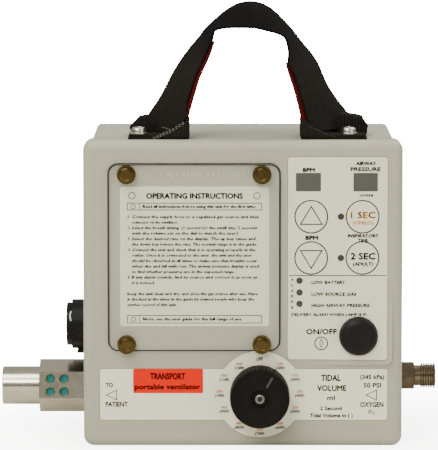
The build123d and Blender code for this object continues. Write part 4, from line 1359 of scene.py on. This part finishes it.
def make_ribs(start, end, front, back, count):
    """The cut edge of the folded tail: short raised cords side by side from one point to another."""
    ribs = []
    for step in range(count):
        share = (step + 0.5) / count
        x = start[0] + (end[0] - start[0]) * share
        z = start[1] + (end[1] - start[1]) * share
        rib = add_disc("rib", (x * MM, (front + back) / 2 * MM, z * MM), RIB_RADIUS, (back - front) * MM, 10)
        pick_faces(rib, lambda c, n: abs(n.y) > 0.99)
        inset(0.2 * MM, 0.2 * MM, each_face=True)
        leave_edit()
        close_edit(rib, 50.0)
        lay_weave(rib)
        ribs.append(rib)
    return ribs


top = CASE_TOP / MM
low_sheet = top + 1.45
top_sheet = 182.3


def make_flat(name, left, right, low, high, front, back):
    """One flat layer of webbing under a strap end."""
    return make_fold(name, [(left, low), (right, low), (right, high), (left, high)], front, back, 0.3)


left_end = [
    make_flat("end_base", -66.8, -31.3, top, low_sheet, END_FRONT, END_BACK),
    make_flat("end_sheet", -65.6, -31.6, low_sheet, top_sheet, -51.2, -14.6),
    make_fold("end_wedge", [(-52.5, 179.9), (-31.3, 179.9), (-31.3, 190.2), (-34.2, 189.7), (-41.5, 184.9),
                            (-47.0, 182.6)], END_FRONT, -16.0, 0.5),
    make_fold("end_tail", [(-65.4, 182.2), (-66.2, 184.2), (-60.2, 190.6), (-56.4, 191.4), (-50.0, 187.0),
                           (-49.0, 182.2)], -31.5, -15.0, 0.8),
    *make_ribs((-66.3, 183.9), (-60.2, 190.5), -30.9, -15.6, 8),
]
right_end = [
    make_flat("end_base", 33.7, 72.1, top, low_sheet, END_FRONT, END_BACK),
    make_flat("end_sheet", 34.0, 71.2, low_sheet, top_sheet, -51.2, -14.6),
    make_fold("end_wedge", [(56.0, 179.9), (48.0, 182.5), (41.0, 186.2), (36.8, 190.4), (33.7, 190.3), (33.7, 179.9)],
              END_FRONT, -16.0, 0.5),
    make_fold("end_tail", [(72.8, 180.6), (73.2, 185.0), (69.4, 191.2), (63.6, 192.2), (57.5, 193.2), (54.0, 191.0),
                           (52.0, 182.2)], -31.5, -15.0, 0.8),
    *make_ribs((69.6, 190.8), (73.2, 184.9), -30.9, -15.6, 7),
]
strap_end_pieces = [join_pieces("strap_end_left", left_end), join_pieces("strap_end_right", right_end)]
for piece, node in zip(strap_end_pieces, ("strap_ends", None)):
    settle(piece, "webbing", "case", node)

stitch_front = END_FRONT - 0.05
diagonal = [((-52.6, 180.5), (-47.2, 182.9)), ((-47.2, 182.9), (-41.6, 185.2)), ((-41.6, 185.2), (-34.2, 190.0))]
stitch_rows = []
for (x0, z0), (x1, z1) in diagonal:
    for side in (-0.15, -1.05):
        stitch_rows.append(make_stitches("row", (x0 - side * 0.3, stitch_front, z0 + side),
                                         (x1 - side * 0.3, stitch_front, z1 + side), 1.25, 0.55, 0.34))
# the left end's stitches take the grey thread, a painted highlight
settle(join_pieces("strap_stitches_left", stitch_rows), "thread", "case")
settle(make_stitches("strap_stitches_right", (38.4, stitch_front, 187.2), (54.0, stitch_front, 180.7), 1.25, 0.7, 0.3),
       "dark_thread", "case")
leg_start, leg_end = [(strap_point(*spot) + strap_normal(*spot) * 0.85 * MM) / MM
                      for spot in ((0.024, 0.44), (0.016, 0.16))]
leg_thread = make_stitches("strap_leg_stitches", leg_start, leg_end, 1.5, 0.5, 0.36)
paint(leg_thread, "thread")
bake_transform(leg_thread)

# ---------------------------------------------------------------- stage, camera, light
clear_selection()
bpy.ops.mesh.primitive_plane_add(size=24.0, location=(0, 4.0, 0))
floor = bpy.context.active_object
floor.name = "studio_floor"
set_in_place(floor)
floor_paint, tree, shader, place = start_material("floor_paint", Roughness=0.6, Base_Color=(0.80, 0.78, 0.72, 1))
shader.inputs["Emission Color"].default_value = (1.0, 1.0, 0.99, 1.0)
light_path = tree.nodes.new("ShaderNodeLightPath")
away = add_node(tree, "ShaderNodeVectorMath", operation="LENGTH")
join(tree, place.outputs["Object"], away.inputs[0])
# painted shadow: the floor glows less near the object, a painted contact shadow round its base
floor_glow_with_painted_shadow = remap(tree, away.outputs["Value"], 0.10, 0.42, 5.6, 22.0)
join(tree, maths(tree, "MULTIPLY", light_path.outputs["Is Camera Ray"], floor_glow_with_painted_shadow), shader.inputs["Emission Strength"])
floor.data.materials.append(floor_paint)

world = bpy.data.worlds.new("studio_world")
world.use_nodes = True
sky = world.node_tree
background = sky.nodes["Background"]
background.inputs["Color"].default_value = (1.0, 0.99, 0.96, 1.0)
direction = sky.nodes.new("ShaderNodeTexCoord")
rise_parts = split(sky, direction.outputs["Generated"])
join(sky, remap(sky, rise_parts.outputs["Z"], 0.10, 0.36, 0.11, 0.50), background.inputs["Strength"])
bpy.context.scene.world = world


def soft_light(name, place, aim, size, power, color=(1.0, 1.0, 1.0)):
    data = bpy.data.lights.new(name, "AREA")
    data.shape = "RECTANGLE"
    data.size, data.size_y = size
    data.energy = power
    data.color = color
    light = bpy.data.objects.new(name, data)
    light.location = place
    light.rotation_euler = (Vector(aim) - Vector(place)).to_track_quat("-Z", "Y").to_euler()
    bpy.context.scene.collection.objects.link(light)


soft_light("overhead_softbox", (-0.66, -0.66, 1.6), (-0.2, 0, 0.1), (1.3, 0.9), 24.0)
soft_light("rear_softbox", (0.75, 0.45, 1.45), (0, 0, 0.15), (0.9, 1.0), 15.0)
soft_light("key_softbox", (-0.75, -2.4, 1.65), (0, 0, 0.1), (1.3, 0.8), 35.0, (1.0, 0.985, 0.96))
soft_light("fill_softbox", (1.7, -1.6, 0.7), (0, 0, 0.1), (1.0, 1.2), 8.0)

camera_data = bpy.data.cameras.new("studio_camera")
camera_data.lens = 305.0
camera_data.sensor_width = 36.0
camera_data.clip_start = 0.1
camera_data.clip_end = 60.0
camera = bpy.data.objects.new("studio_camera", camera_data)
camera.location = (-0.0099, -2.259, 0.3795)
camera.rotation_euler = (radians(90 - 6.462), 0.0, radians(0.104))
bpy.context.scene.collection.objects.link(camera)
bpy.context.scene.camera = camera
